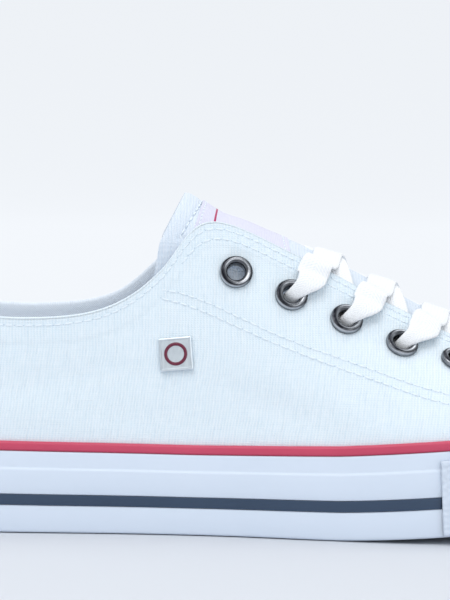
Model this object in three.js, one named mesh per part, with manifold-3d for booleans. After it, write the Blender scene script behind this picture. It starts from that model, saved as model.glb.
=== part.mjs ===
// Low canvas sneaker, right shoe, as its maker would put it together.
// Millimetres. +Z is up, +X runs to the toe and +Y to the medial side.
// The shoe is drawn with its heel at X = 0 and centred on its resting box at the end.
import * as THREE from 'three';
import { mergeVertices } from 'three/addons/utils/BufferGeometryUtils.js';
import Module from 'manifold-3d';

const wasm = await Module();
wasm.setup();

// Driving sizes of the last
const LENGTH = 270;
const BALL_WIDTH = 97;
const HEEL_HEIGHT = 66.5;
const INSTEP_HEIGHT = 88;
const TOE_SPRING = 12;
const SPRING_START = 148;
const SPRING_POWER = 1.35;
const SOLE_SWELL = 0.06;
const SWELL_START = 105;
const SWELL_END = 175;

// Fits and walls
const GAP = 0.3;
const UPPER_WALL = 1.8;
const FLARE = 1.5;
const INSOLE_CLEARANCE = 0.8;

// Rubber of the sole
const OUTSOLE_THICKNESS = 9;
const SIDEWALL_THICKNESS = 3;
const SIDEWALL_HEIGHT = 23;
const SIDEWALL_LIFT = 0.6;
const SIDEWALL_EDGE = 0.5;
const STEP_HEIGHT = 18;
const STEP_DEPTH = 0.7;
const STRIPE_BOTTOM = 7.4;
const STRIPE_WIDTH = 3.4;
const STRIPE_THICKNESS = 0.9;
const STRIPE_PROUD = 0.2;
const PIPING_HEIGHT = 2.4;
const PIPING_THICKNESS = 2.2;
const PIPING_ROUND = 0.6;
const PIPING_BACK_INSET = 0.375;
const BUMPER_START = 177.4;
const BUMPER_HEIGHT = 20.7;
const BUMPER_THICKNESS = 1.4;
const BUMPER_RIBS = 2;
const BUMPER_RIB_PITCH = 3.2;
const BUMPER_RIB_DEPTH = 0.4;
const INSOLE_THICKNESS = 4;

// Overlays on the upper
const CAP_START = 216;
const CAP_RADIUS = 75;
const CAP_THICKNESS = 1.5;
const CAP_GAP = 0.5;
const CAP_TOP_SHARE = 0.97;
const OVERLAY_CLEARANCE = 0.9;
const STAY_WIDTH = 22;
const STAY_THICKNESS = 1;
const STAY_TOP_SHARE = 0.985;

// Tongue and its label
const TONGUE_THICKNESS = 3;
const TONGUE_SWEEP = 82;
const TONGUE_SHIFT = 0.6;
const LABEL_START = 5;
const LABEL_LENGTH = 25;
const LABEL_WIDTH = 29;
const LABEL_THICKNESS = 0.7;

// Eyelets and laces
const EYELET_ROWS = 6;
const EYELET_FIRST_ALONG = 119.3;
const EYELET_SPACING = 15.8;
const EYELET_INSET = 15.2;
const EYELET_SEAT = 0.5;
const EYELET_FLANGE = 9.5;
const EYELET_BARREL = 6.2;
const EYELET_BORE = 5;
const EYELET_RISE = 1.1;
const EYELET_LIP = 0.4;
const EYELET_TAIL = 0.7;
const EYELET_DRILL = 9;
const FIRST_LACED_ROW = 2;
const LACE_WIDTH = 7.6;
const LACE_THICKNESS = 1.2;
const LACE_CLEARANCE = 0.6;
const LACE_RIDE = LACE_CLEARANCE + LACE_THICKNESS / 2;
const LACE_LOW_RIDE = 1.56;
const LACE_WALL_RIDE = 2.88;
const LACE_EDGE_RIDE = 2.52;
const LACE_LIFT = 0.96;
const LACE_EDGE_SHARE = 0.5;
const LACE_CROWN_SHARE = 0.7;
const LACE_FAR_SHARE = 0.85;
const LACE_UNDER_SHARE = 0.46;

// Side badge
const BADGE_ALONG = 102.5;
const BADGE_HEIGHT = 51.2;
const BADGE_SIDE = 9.5;
const BADGE_THICKNESS = 1;
const BADGE_TURN = 6;
const BADGE_RING = 6.6;
const BADGE_RING_WALL = 0.9;
const BADGE_RING_RISE = 0.4;

// Fineness of the meshes
const STEPS_PER_RIB = 3;
const UPPER_RISE_STEPS = 7;
const SEAT_SHARE = 1 / UPPER_RISE_STEPS;
const PLATE_STEPS = 2;
const CAP_RISE_STEPS = 7;
const CAP_ROUND_STEPS = 44;
const TONGUE_STEPS = 11;
const TONGUE_ACROSS = 8;
const LABEL_STEPS = 6;
const STRAP_STEPS = 2;
const ROUND_STEPS = 10;
const HALVING_TURNS = 30;
const WALK_STEPS = 24;
const HAIR = 0.002;

const up = new THREE.Vector3(0, 0, 1);
const radians = THREE.MathUtils.degToRad;

/** Names the columns of a short table. */
function table(columns, rows) {
  return rows.map((row) => Object.fromEntries(columns.map((name, i) => [name, row[i]])));
}

// Ribs of the last from heel to toe. The first three columns are the sole's outline,
// as shares of length and ball width. The top columns are the topline, with its height
// shared between heel height and instep height. Lean is the wall's angle from upright
// at the topline, reach and rise are the shares of the rib held straight at each end.
const RIBS = table(
  ['along', 'lateral', 'medial', 'topAlong', 'topHalf', 'topShift', 'byHeel', 'byInstep', 'lean', 'reach', 'rise'],
  [
    [0.000, 0.000, 0.000, 0.022, 0.000, 0.000, 1.000, 0.000, 12, 0.34, 0.36],
    [0.035, 0.235, 0.235, 0.042, 0.150, 0.000, 0.990, 0.000, 10, 0.34, 0.36],
    [0.110, 0.335, 0.330, 0.111, 0.245, 0.000, 0.955, 0.000, 9, 0.34, 0.36],
    [0.210, 0.355, 0.345, 0.215, 0.284, 0.002, 0.919, 0.000, 8, 0.34, 0.36],
    [0.310, 0.360, 0.340, 0.303, 0.283, 0.002, 0.965, 0.000, 9, 0.34, 0.36],
    [0.380, 0.372, 0.335, 0.361, 0.257, 0.003, 0.500, 0.490, 15, 0.34, 0.36],
    [0.450, 0.397, 0.345, 0.414, 0.217, 0.004, 0.000, 1.008, 22, 0.32, 0.36],
    [0.540, 0.450, 0.385, 0.504, 0.212, 0.006, 0.000, 0.905, 26, 0.32, 0.34],
    [0.660, 0.500, 0.465, 0.611, 0.205, 0.008, 0.000, 0.738, 36, 0.33, 0.34],
    [0.800, 0.455, 0.480, 0.692, 0.172, 0.010, 0.000, 0.616, 50, 0.36, 0.55],
    [0.932, 0.335, 0.370, 0.743, 0.098, 0.016, 0.000, 0.552, 64, 0.38, 0.85],
    [1.000, -0.030, 0.030, 0.761, 0.000, 0.020, 0.000, 0.535, 71, 0.38, 0.95],
  ],
);
const HALF = RIBS.length - 1;
const ROUND = HALF * 2;
const FEATHER_INSET = SIDEWALL_THICKNESS + GAP;
const FEATHER_HEIGHT = OUTSOLE_THICKNESS + GAP;
const OUTLINE_LENGTH = LENGTH - BUMPER_THICKNESS;

/** Uniform Catmull-Rom value between b and c. */
function smooth(a, b, c, d, t) {
  const linear = (c - a) * t;
  const square = (2 * a - 5 * b + 4 * c - d) * t * t;
  const cube = (3 * b - a - 3 * c + d) * t * t * t;
  return (2 * b + linear + square + cube) / 2;
}

/** Reads one value round the shoe, u = 0 at the heel, 0.5 at the toe, lateral side first. */
function roundValue(u, pick) {
  const place = (((u % 1) + 1) % 1) * ROUND;
  const first = Math.floor(place);
  const at = (step) => {
    const k = (first + step + ROUND) % ROUND;
    return k <= HALF ? pick(RIBS[k], -1) : pick(RIBS[ROUND - k], 1);
  };
  return smooth(at(-1), at(0), at(1), at(2), place - first);
}

/** Lift of the sole above the floor at a place along the shoe. */
function spring(x) {
  const share = Math.max(0, (x - SPRING_START) / (LENGTH - SPRING_START));
  return TOE_SPRING * share ** SPRING_POWER;
}

/** Height above the floor of a level of the sole, which thickens towards the ball. */
function soleLevel(x, height) {
  const swell = SOLE_SWELL * THREE.MathUtils.smoothstep(x, SWELL_START, SWELL_END);
  return height * (1 + swell) + spring(x);
}

/** Point of the sole's outline in plan. */
function outline(u) {
  const x = roundValue(u, (rib) => rib.along * OUTLINE_LENGTH);
  const y = roundValue(u, (rib, side) => side * (side < 0 ? rib.lateral : rib.medial) * BALL_WIDTH);
  return new THREE.Vector3(x, y, 0);
}

/** Point at a distance inside the outline and a height above the sprung sole. */
function rim(u, inset, height) {
  const point = outline(u);
  const run = outline(u + HAIR).sub(outline(u - HAIR)).normalize();
  point.x -= run.y * inset;
  point.y += run.x * inset;
  point.z = soleLevel(point.x, height);
  return point;
}

/** Point of the topline, which is the collar, the eyestay edges and the throat's end. */
function topline(u) {
  return new THREE.Vector3(
    roundValue(u, (rib) => rib.topAlong * LENGTH),
    roundValue(u, (rib, side) => (side * rib.topHalf + rib.topShift) * BALL_WIDTH),
    roundValue(u, (rib) => rib.byHeel * HEEL_HEIGHT + rib.byInstep * INSTEP_HEIGHT),
  );
}

/**
 * Point of the upper's outer face, v = 0 at the feather line and 1 at the topline.
 * The wall stands straight up inside the rubber, and follows the last above it.
 */
function lastPoint(u, v) {
  const foot = rim(u, FEATHER_INSET, SIDEWALL_HEIGHT + GAP);
  if (v < SEAT_SHARE) {
    const feather = rim(u, FEATHER_INSET, FEATHER_HEIGHT);
    return feather.lerp(foot, Math.max(v, 0) / SEAT_SHARE);
  }
  const top = topline(u);
  const out = new THREE.Vector3(foot.x - top.x, foot.y - top.y, 0).normalize();
  const lean = radians(roundValue(u, (rib) => rib.lean));
  const reach = roundValue(u, (rib) => rib.reach) * foot.distanceTo(top);
  const rise = roundValue(u, (rib) => rib.rise) * (top.z - foot.z);
  const low = foot.clone().addScaledVector(up, rise).addScaledVector(out, FLARE);
  const high = top.clone().addScaledVector(up, -reach * Math.cos(lean));
  high.addScaledVector(out, reach * Math.sin(lean));
  return new THREE.CubicBezierCurve3(foot, low, high, top).getPoint((v - SEAT_SHARE) / (1 - SEAT_SHARE));
}

/** Frame on the upper's outer face: the point and its outward normal. */
function lastFrame(u, v) {
  const low = Math.max(0, v - HAIR);
  const high = Math.min(1, v + HAIR);
  const round = lastPoint(u + HAIR, v).sub(lastPoint(u - HAIR, v)).normalize();
  const rise = lastPoint(u, high).sub(lastPoint(u, low)).normalize();
  const normal = round.clone().cross(rise).normalize();
  return { point: lastPoint(u, v), normal };
}

/** Point a distance off the upper's outer face, inwards where it is negative. */
function offLast(u, v, distance) {
  const { point, normal } = lastFrame(u, v);
  return point.addScaledVector(normal, distance);
}

/** Halves a range until its test changes from true to false. */
function halve(low, high, test) {
  let [from, to] = [low, high];
  for (let turn = 0; turn < HALVING_TURNS; turn += 1) {
    const middle = (from + to) / 2;
    if (test(middle)) from = middle;
    else to = middle;
  }
  return (from + to) / 2;
}

/** Finds the place on one side of the upper that lies at a length and a height. */
function placeOnLast(side, x, z) {
  const round = (share) => (side < 0 ? share : 1 - share);
  const across = (v) => halve(0, 0.5, (share) => lastPoint(round(share), v).x < x);
  const v = halve(0, 1, (share) => lastPoint(round(across(share)), share).z < z);
  return { u: round(across(v)), v };
}

/** Share up a rib at which the upper reaches a height above the sprung sole. */
function shareAtHeight(u, height) {
  return halve(0, 1, (v) => {
    const point = lastPoint(u, v);
    return point.z < soleLevel(point.x, height);
  });
}

/** Place round the shoe where the outline, or the topline, reaches a length. */
function roundAt(curve, side, x) {
  const round = (share) => (side < 0 ? share : 1 - share);
  return round(halve(0, 0.5, (share) => curve(round(share)).x < x));
}

/** Makes one closed geometry with merged corners and faces that point out. */
function closedGeometry(positions, triangles) {
  const raw = new THREE.BufferGeometry();
  raw.setAttribute('position', new THREE.Float32BufferAttribute(positions, 3));
  raw.setIndex(triangles);
  const merged = mergeVertices(raw, 1e-3);
  const index = merged.getIndex().array;
  const p = new THREE.Vector3();
  const q = new THREE.Vector3();
  const r = new THREE.Vector3();
  const kept = [];
  let volume = 0;
  for (let i = 0; i < index.length; i += 3) {
    const [a, b, c] = [index[i], index[i + 1], index[i + 2]];
    if (a === b || b === c || c === a) continue;
    kept.push(a, b, c);
    p.fromBufferAttribute(merged.attributes.position, a);
    q.fromBufferAttribute(merged.attributes.position, b);
    r.fromBufferAttribute(merged.attributes.position, c);
    volume += p.dot(q.cross(r));
  }
  merged.setIndex(volume < 0 ? kept.reverse() : kept);
  merged.computeVertexNormals();
  return merged;
}

/**
 * Solid between an outer and an inner face. Each station holds both faces' points in
 * one order. A closed slab runs round to its first station, an open one has end walls.
 */
function slab(stations, closed) {
  const width = stations[0].outer.length;
  const positions = [];
  for (const { outer, inner } of stations) {
    for (const point of [...outer, ...inner]) positions.push(point.x, point.y, point.z);
  }
  const at = (station, row, j) => (station % stations.length) * 2 * width + row * width + j;
  const triangles = [];
  const quad = (a, b, c, d) => triangles.push(a, b, c, a, c, d);
  const last = closed ? stations.length : stations.length - 1;
  for (let i = 0; i < last; i += 1) {
    for (let j = 0; j < width - 1; j += 1) {
      quad(at(i, 0, j), at(i + 1, 0, j), at(i + 1, 0, j + 1), at(i, 0, j + 1));
      quad(at(i, 1, j), at(i, 1, j + 1), at(i + 1, 1, j + 1), at(i + 1, 1, j));
    }
    quad(at(i, 0, 0), at(i, 1, 0), at(i + 1, 1, 0), at(i + 1, 0, 0));
    quad(at(i, 0, width - 1), at(i + 1, 0, width - 1), at(i + 1, 1, width - 1), at(i, 1, width - 1));
  }
  if (!closed) {
    const end = stations.length - 1;
    for (let j = 0; j < width - 1; j += 1) {
      quad(at(0, 0, j), at(0, 0, j + 1), at(0, 1, j + 1), at(0, 1, j));
      quad(at(end, 0, j), at(end, 1, j), at(end, 1, j + 1), at(end, 0, j + 1));
    }
  }
  return closedGeometry(positions, triangles);
}

/** Numbers evenly spaced from one value to another, ends included. */
function evenly(from, to, steps) {
  return Array.from({ length: steps + 1 }, (_, i) => from + ((to - from) * i) / steps);
}

/** Places round the whole shoe, each once. */
function roundPlaces() {
  return evenly(0, 1, ROUND * STEPS_PER_RIB).slice(0, -1);
}

/** Band that follows the outline, its section given as pairs of inset and height. */
function rimBand(places, outer, inner, closed) {
  const stations = places.map((u) => ({
    outer: outer.map(([inset, height]) => rim(u, inset, height)),
    inner: inner.map(([inset, height]) => rim(u, inset, height)),
  }));
  return slab(stations, closed);
}

/** Flat plate inside the outline, which follows the toe spring. */
function solePlate(inset, bottom, top) {
  const across = evenly(0, 1, PLATE_STEPS);
  const row = (u, height) => {
    const lateral = rim(u, inset, height);
    const medial = rim(1 - u, inset, height);
    return across.map((share) => {
      const point = lateral.clone().lerp(medial, share);
      point.z = soleLevel(point.x, height);
      return point;
    });
  };
  const stations = evenly(0, 0.5, HALF * STEPS_PER_RIB).map((u) => ({
    outer: row(u, top),
    inner: row(u, bottom),
  }));
  return slab(stations, false);
}

/** Skin on the upper between two distances off its outer face. */
function lastSkin(places, low, high, steps, from, to) {
  const stations = places.map((u) => {
    const shares = evenly(from(u), to(u), steps);
    return {
      outer: shares.map((v) => offLast(u, v, high)),
      inner: shares.map((v) => offLast(u, v, low)),
    };
  });
  return stations;
}

/** Turns a closed geometry into a solid that can be cut and joined. */
function toSolid(geometry) {
  const bare = geometry.clone();
  bare.deleteAttribute('normal');
  bare.deleteAttribute('uv');
  const merged = mergeVertices(bare, 1e-4);
  return new wasm.Manifold(new wasm.Mesh({
    numProp: 3,
    vertProperties: new Float32Array(merged.attributes.position.array),
    triVerts: new Uint32Array(merged.getIndex().array),
  }));
}

/** Turns a cut or joined solid back into a geometry. */
function toGeometry(solid) {
  const mesh = solid.getMesh();
  return closedGeometry(Array.from(mesh.vertProperties), Array.from(mesh.triVerts));
}

/** Moves a geometry so that its Z axis stands on a frame of the upper. */
function standOn(geometry, { point, normal }, turn = 0) {
  const y = up.clone().addScaledVector(normal, -normal.z).normalize();
  y.applyAxisAngle(normal, radians(turn));
  const x = y.clone().cross(normal);
  const matrix = new THREE.Matrix4().makeBasis(x, y, normal).setPosition(point);
  return geometry.applyMatrix4(matrix);
}

/** Outsole with its flat tread plane and toe spring. */
function outsoleShape() {
  return solePlate(FEATHER_INSET, 0, OUTSOLE_THICKNESS);
}

/** Insole that fills the floor of the upper. */
function insoleShape() {
  const bottom = OUTSOLE_THICKNESS + GAP;
  return solePlate(FEATHER_INSET + UPPER_WALL + INSOLE_CLEARANCE, bottom, bottom + INSOLE_THICKNESS);
}

/** Rubber sidewall with the groove of its stripe and the step above it. */
function sidewallShape() {
  const grooveDepth = STRIPE_THICKNESS - STRIPE_PROUD + GAP;
  const grooveBottom = STRIPE_BOTTOM - GAP;
  const grooveTop = STRIPE_BOTTOM + STRIPE_WIDTH + GAP;
  const outer = [
    [SIDEWALL_EDGE, SIDEWALL_LIFT],
    [0, SIDEWALL_LIFT + SIDEWALL_EDGE],
    [0, grooveBottom],
    [grooveDepth, grooveBottom],
    [grooveDepth, grooveTop],
    [0, grooveTop],
    [0, STEP_HEIGHT],
    [STEP_DEPTH, STEP_HEIGHT + STEP_DEPTH],
    [STEP_DEPTH, SIDEWALL_HEIGHT],
  ];
  const heights = evenly(SIDEWALL_LIFT, SIDEWALL_HEIGHT, outer.length - 1);
  const inner = heights.map((height) => [SIDEWALL_THICKNESS, height]);
  return rimBand(roundPlaces(), outer, inner, true);
}

/** Rounded piping that lies on the sidewall's top edge, against the upper. */
function pipingShape() {
  const bottom = SIDEWALL_HEIGHT + GAP;
  const face = SIDEWALL_THICKNESS - PIPING_THICKNESS;
  const outer = [
    [face + PIPING_ROUND, bottom],
    [face, bottom + PIPING_HEIGHT / 2],
    [face + PIPING_ROUND, bottom + PIPING_HEIGHT],
  ];
  const back = SIDEWALL_THICKNESS - PIPING_BACK_INSET;
  const heights = evenly(bottom, bottom + PIPING_HEIGHT, outer.length - 1);
  const inner = heights.map((height) => [back, height]);
  return rimBand(roundPlaces(), outer, inner, true);
}

/** The shoe's own places between two ends, with the ends themselves. */
function placesBetween(from, to) {
  const own = [...roundPlaces().map((u) => u - 1), ...roundPlaces()];
  return [from, ...own.filter((u) => u > from + HAIR && u < to - HAIR), to];
}

/** Places from the bumper's lateral end to its medial end, round the toe or the heel. */
function bumperPlaces(roundToe) {
  const lateral = roundAt(outline, -1, BUMPER_START);
  const medial = roundAt(outline, 1, BUMPER_START);
  return roundToe ? placesBetween(lateral, medial) : placesBetween(medial - 1, lateral);
}

/** Stripe let into the sidewall, from bumper end to bumper end round the heel. */
function stripeShape() {
  const top = STRIPE_BOTTOM + STRIPE_WIDTH;
  const outer = [[-STRIPE_PROUD, STRIPE_BOTTOM], [-STRIPE_PROUD, top]];
  const back = STRIPE_THICKNESS - STRIPE_PROUD;
  return rimBand(bumperPlaces(false), outer, [[back, STRIPE_BOTTOM], [back, top]], false);
}

// One rib of the bumper, in shares of the ribs' pitch and depth
const BUMPER_RIB = table(
  ['up', 'depth'],
  [
    [0.00, 1],
    [0.25, 0],
    [0.75, 0],
  ],
);

/** Toe bumper, laid over the sidewall, with ribs along its lower edge. */
function bumperShape() {
  const face = -BUMPER_THICKNESS;
  const bottom = SIDEWALL_LIFT + SIDEWALL_EDGE;
  const outer = [];
  for (let rib = 0; rib < BUMPER_RIBS; rib += 1) {
    for (const { up: rise, depth } of BUMPER_RIB) {
      outer.push([face + depth * BUMPER_RIB_DEPTH, bottom + (rib + rise) * BUMPER_RIB_PITCH]);
    }
  }
  const ribbed = bottom + BUMPER_RIBS * BUMPER_RIB_PITCH;
  outer.push([face + BUMPER_RIB_DEPTH, ribbed], [face, ribbed + BUMPER_RIB_DEPTH]);
  outer.push([face, BUMPER_HEIGHT - SIDEWALL_EDGE], [face + SIDEWALL_EDGE, BUMPER_HEIGHT]);
  const inner = outer.map(([, height]) => [-GAP, height]);
  return rimBand(bumperPlaces(true), outer, inner, false);
}

/** Share up a rib that lies a distance below the topline, along the wall. */
function shareBelowTop(u, distance) {
  const step = 1 / WALK_STEPS;
  let walked = 0;
  let v = 1;
  while (walked < distance) {
    walked += lastPoint(u, v).distanceTo(lastPoint(u, v - step));
    v -= step;
  }
  const last = lastPoint(u, v).distanceTo(lastPoint(u, v + step));
  return v + ((walked - distance) / last) * step;
}

/** Place of one eyelet on the upper, rows counted from the ankle. */
function eyeletPlace(side, row) {
  const x = EYELET_FIRST_ALONG + (row - 1) * EYELET_SPACING;
  const curve = (u) => lastPoint(u, shareBelowTop(u, EYELET_INSET));
  const u = roundAt(curve, side, x);
  return { u, v: shareBelowTop(u, EYELET_INSET) };
}

/** Frame of one eyelet on the upper. */
function eyeletFrame(side, row) {
  const { u, v } = eyeletPlace(side, row);
  return lastFrame(u, v);
}

/** Canvas upper, one wall from feather line to topline, with its eyelet holes. */
function upperShape() {
  const stations = lastSkin(roundPlaces(), -UPPER_WALL, 0, UPPER_RISE_STEPS, () => 0, () => 1);
  let solid = toSolid(slab(stations, true));
  const holeRadius = EYELET_BARREL / 2 + GAP;
  for (const side of [-1, 1]) {
    for (let row = 1; row <= EYELET_ROWS; row += 1) {
      const hole = new THREE.CylinderGeometry(holeRadius, holeRadius, EYELET_DRILL, ROUND_STEPS);
      hole.rotateX(Math.PI / 2);
      solid = solid.subtract(toSolid(standOn(hole, eyeletFrame(side, row))));
    }
  }
  return toGeometry(solid);
}

/** Eyelet with a rounded flange outside and a barrel through the canvas. */
function eyeletShape(side, row) {
  const bore = EYELET_BORE / 2;
  const barrel = EYELET_BARREL / 2;
  const flange = EYELET_FLANGE / 2;
  const top = EYELET_SEAT + EYELET_RISE;
  const profile = [
    [bore, -UPPER_WALL - EYELET_TAIL],
    [barrel, -UPPER_WALL - EYELET_TAIL],
    [barrel, EYELET_SEAT],
    [flange, EYELET_SEAT],
    [(flange + bore) / 2, top],
    [bore, top - EYELET_LIP],
    [bore, -UPPER_WALL - EYELET_TAIL],
  ].map(([radius, height]) => new THREE.Vector2(radius, height));
  const ring = new THREE.LatheGeometry(profile, ROUND_STEPS).rotateX(Math.PI / 2);
  const placed = standOn(ring, eyeletFrame(side, row));
  return closedGeometry(Array.from(placed.attributes.position.array), Array.from(placed.getIndex().array));
}

/** Toe cap, cut from a skin over the front of the upper by a round edge. */
function toeCapShape() {
  const start = roundAt(outline, -1, CAP_START - CAP_THICKNESS);
  const lowest = SIDEWALL_HEIGHT + PIPING_HEIGHT + OVERLAY_CLEARANCE;
  const from = (u) => shareAtHeight(u, lowest);
  const places = placesBetween(start, 1 - start);
  const high = CAP_GAP + CAP_THICKNESS;
  const skin = lastSkin(places, CAP_GAP, high, CAP_RISE_STEPS, from, () => CAP_TOP_SHARE);
  const front = new THREE.CylinderGeometry(CAP_RADIUS, CAP_RADIUS, INSTEP_HEIGHT * 2, CAP_ROUND_STEPS);
  front.rotateX(Math.PI / 2);
  front.translate(CAP_START + CAP_RADIUS, topline(0.5).y, 0);
  return toGeometry(toSolid(slab(skin, false)).intersect(toSolid(front)));
}

/** Plain strip up the back of the heel. */
function heelStayShape() {
  let share = 0;
  while (Math.abs(lastPoint(share, 0.5).y) < STAY_WIDTH / 2) share += HAIR;
  const lowest = SIDEWALL_HEIGHT + PIPING_HEIGHT + OVERLAY_CLEARANCE;
  const from = (u) => shareAtHeight(u, lowest);
  const places = evenly(-share, share, STEPS_PER_RIB * 2);
  return slab(lastSkin(places, GAP, GAP + STAY_THICKNESS, UPPER_RISE_STEPS, from, () => STAY_TOP_SHARE), false);
}

// Tongue from its tip to its hidden root: the crown's place and height, as shares of
// length and instep height, and the half width and drop of its arch, of ball width.
const TONGUE = table(
  ['along', 'height', 'half', 'drop'],
  [
    [0.386, 1.092, 0.206, 0.232],
    [0.437, 1.016, 0.210, 0.160],
    [0.504, 0.918, 0.214, 0.122],
    [0.611, 0.757, 0.218, 0.098],
    [0.694, 0.620, 0.196, 0.077],
    [0.778, 0.460, 0.160, 0.052],
  ],
);

/** Reads a column of the tongue's table, s = 0 at the tip and 1 at the root. */
function tongueValue(s, name) {
  const last = TONGUE.length - 1;
  const place = Math.min(Math.max(s, 0), 1) * last;
  const first = Math.min(Math.floor(place), last - 1);
  const at = (k) => {
    if (k < 0) return 2 * TONGUE[0][name] - TONGUE[1][name];
    if (k > last) return 2 * TONGUE[last][name] - TONGUE[last - 1][name];
    return TONGUE[k][name];
  };
  return smooth(at(first - 1), at(first), at(first + 1), at(first + 2), place - first);
}

/** Middle of the tongue's crown. */
function tongueCrown(s) {
  return new THREE.Vector3(
    tongueValue(s, 'along') * LENGTH,
    TONGUE_SHIFT,
    tongueValue(s, 'height') * INSTEP_HEIGHT,
  );
}

/** Point of the tongue a distance under its outer face, across its arch by an angle. */
function tonguePoint(s, angle, depth) {
  const run = tongueCrown(Math.min(s + HAIR, 1)).sub(tongueCrown(Math.max(s - HAIR, 0))).normalize();
  const normal = new THREE.Vector3(-run.z, 0, run.x);
  const half = tongueValue(s, 'half') * BALL_WIDTH - depth;
  const drop = tongueValue(s, 'drop') * BALL_WIDTH - depth;
  const point = tongueCrown(s);
  point.y += half * Math.sin(radians(angle));
  return point.addScaledVector(normal, -depth - drop * (1 - Math.cos(radians(angle))));
}

/** Tongue of doubled canvas, arched from above the eyestays to under the vamp. */
function tongueShape() {
  const angles = evenly(-TONGUE_SWEEP, TONGUE_SWEEP, TONGUE_ACROSS);
  const stations = evenly(0, 1, TONGUE_STEPS).map((s) => ({
    outer: angles.map((angle) => tonguePoint(s, angle, 0)),
    inner: angles.map((angle) => tonguePoint(s, angle, TONGUE_THICKNESS)),
  }));
  return slab(stations, false);
}

/** Place along the tongue where its crown lies at a length. */
function tonguePlace(x) {
  return halve(0, 1, (s) => tongueCrown(s).x < x);
}

/** Plain woven label sewn on the tongue's crown. */
function labelShape() {
  const start = tongueCrown(0).x + LABEL_START;
  const stations = evenly(start, start + LABEL_LENGTH, LABEL_STEPS).map((x) => {
    const s = tonguePlace(x);
    const half = Math.asin(LABEL_WIDTH / 2 / (tongueValue(s, 'half') * BALL_WIDTH));
    const angles = evenly(-THREE.MathUtils.radToDeg(half), THREE.MathUtils.radToDeg(half), LABEL_STEPS);
    return {
      outer: angles.map((angle) => tonguePoint(s, angle, -GAP - LABEL_THICKNESS)),
      inner: angles.map((angle) => tonguePoint(s, angle, -GAP)),
    };
  });
  return slab(stations, false);
}

/** Frame over the tongue at a length and a width, a distance above its face. */
function overTongue(x, y, height) {
  const s = tonguePlace(x);
  const sine = (y - tongueCrown(s).y) / (tongueValue(s, 'half') * BALL_WIDTH);
  const angle = THREE.MathUtils.radToDeg(Math.asin(sine));
  const point = tonguePoint(s, angle, -height);
  const normal = point.clone().sub(tonguePoint(s, angle, 0)).normalize();
  return { point: point.setX(x), normal };
}

/** Frame over the upper at a place, a distance above its face. */
function overLast(u, v, height) {
  return { point: offLast(u, v, height), normal: lastFrame(u, v).normal };
}

/** Stretch of flat lace through the frames of its path, lying along their faces. */
function strapShape(path) {
  const curve = new THREE.CatmullRomCurve3(path.map((frame) => frame.point));
  const faces = new THREE.CatmullRomCurve3(path.map((frame) => frame.normal));
  const stations = evenly(0, 1, (path.length - 1) * STRAP_STEPS).map((t) => {
    const point = curve.getPoint(t);
    const face = faces.getPoint(t).normalize();
    const side = curve.getTangent(t).cross(face).normalize();
    face.copy(side).cross(curve.getTangent(t)).normalize().multiplyScalar(LACE_THICKNESS / 2);
    side.multiplyScalar(LACE_WIDTH / 2);
    const edges = [point.clone().sub(side), point.clone().add(side)];
    return {
      outer: edges.map((edge) => edge.clone().add(face)),
      inner: edges.map((edge) => edge.clone().sub(face)),
    };
  });
  return slab(stations, false);
}

/** Path of a lace from above an eyelet up and over the eyestay's edge. */
function overEdge(side, row, target) {
  const { u, v } = eyeletPlace(side, row);
  const start = overLast(u, v, EYELET_SEAT + EYELET_RISE + LACE_LOW_RIDE);
  const edge = roundAt(topline, side, THREE.MathUtils.lerp(start.point.x, target.x, LACE_EDGE_SHARE));
  const between = overLast((u + edge) / 2, (v + 1) / 2, LACE_WALL_RIDE);
  return [start, between, overLast(edge, 1, LACE_EDGE_RIDE)];
}

/** One lace from an eyelet's outside over the tongue towards the next row opposite. */
function diagonalStrap(side, row, lift) {
  const start = eyeletFrame(side, row).point;
  const end = eyeletFrame(-side, row + 1).point;
  const path = overEdge(side, row, end);
  const near = topline(roundAt(topline, side, start.x)).y;
  const far = topline(roundAt(topline, -side, end.x)).y;
  const stops = [
    [(LACE_EDGE_SHARE + LACE_CROWN_SHARE) / 2, near * LACE_UNDER_SHARE, lift],
    [LACE_CROWN_SHARE, TONGUE_SHIFT, lift],
    [LACE_FAR_SHARE, far * LACE_UNDER_SHARE, 0],
  ];
  for (const [share, y, extra] of stops) {
    path.push(overTongue(THREE.MathUtils.lerp(start.x, end.x, share), y, LACE_RIDE + extra));
  }
  return strapShape(path);
}

/** Two laces joined where they cross between two rows. */
function crossingShape(row) {
  const lower = toSolid(diagonalStrap(1, row, 0));
  const upper = toSolid(diagonalStrap(-1, row, LACE_LIFT));
  return toGeometry(lower.add(upper));
}

/** Straight lace across the outside of the last row. */
function laceBarShape() {
  const lateral = eyeletFrame(-1, EYELET_ROWS).point;
  const medial = eyeletFrame(1, EYELET_ROWS).point;
  const rising = overEdge(-1, EYELET_ROWS, medial);
  const falling = overEdge(1, EYELET_ROWS, lateral).reverse();
  const point = rising[2].point.clone().lerp(falling[0].point, 0.5).addScaledVector(up, LACE_CLEARANCE);
  const normal = rising[2].normal.clone().add(falling[0].normal).normalize();
  return strapShape([...rising, { point, normal }, ...falling]);
}

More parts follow.
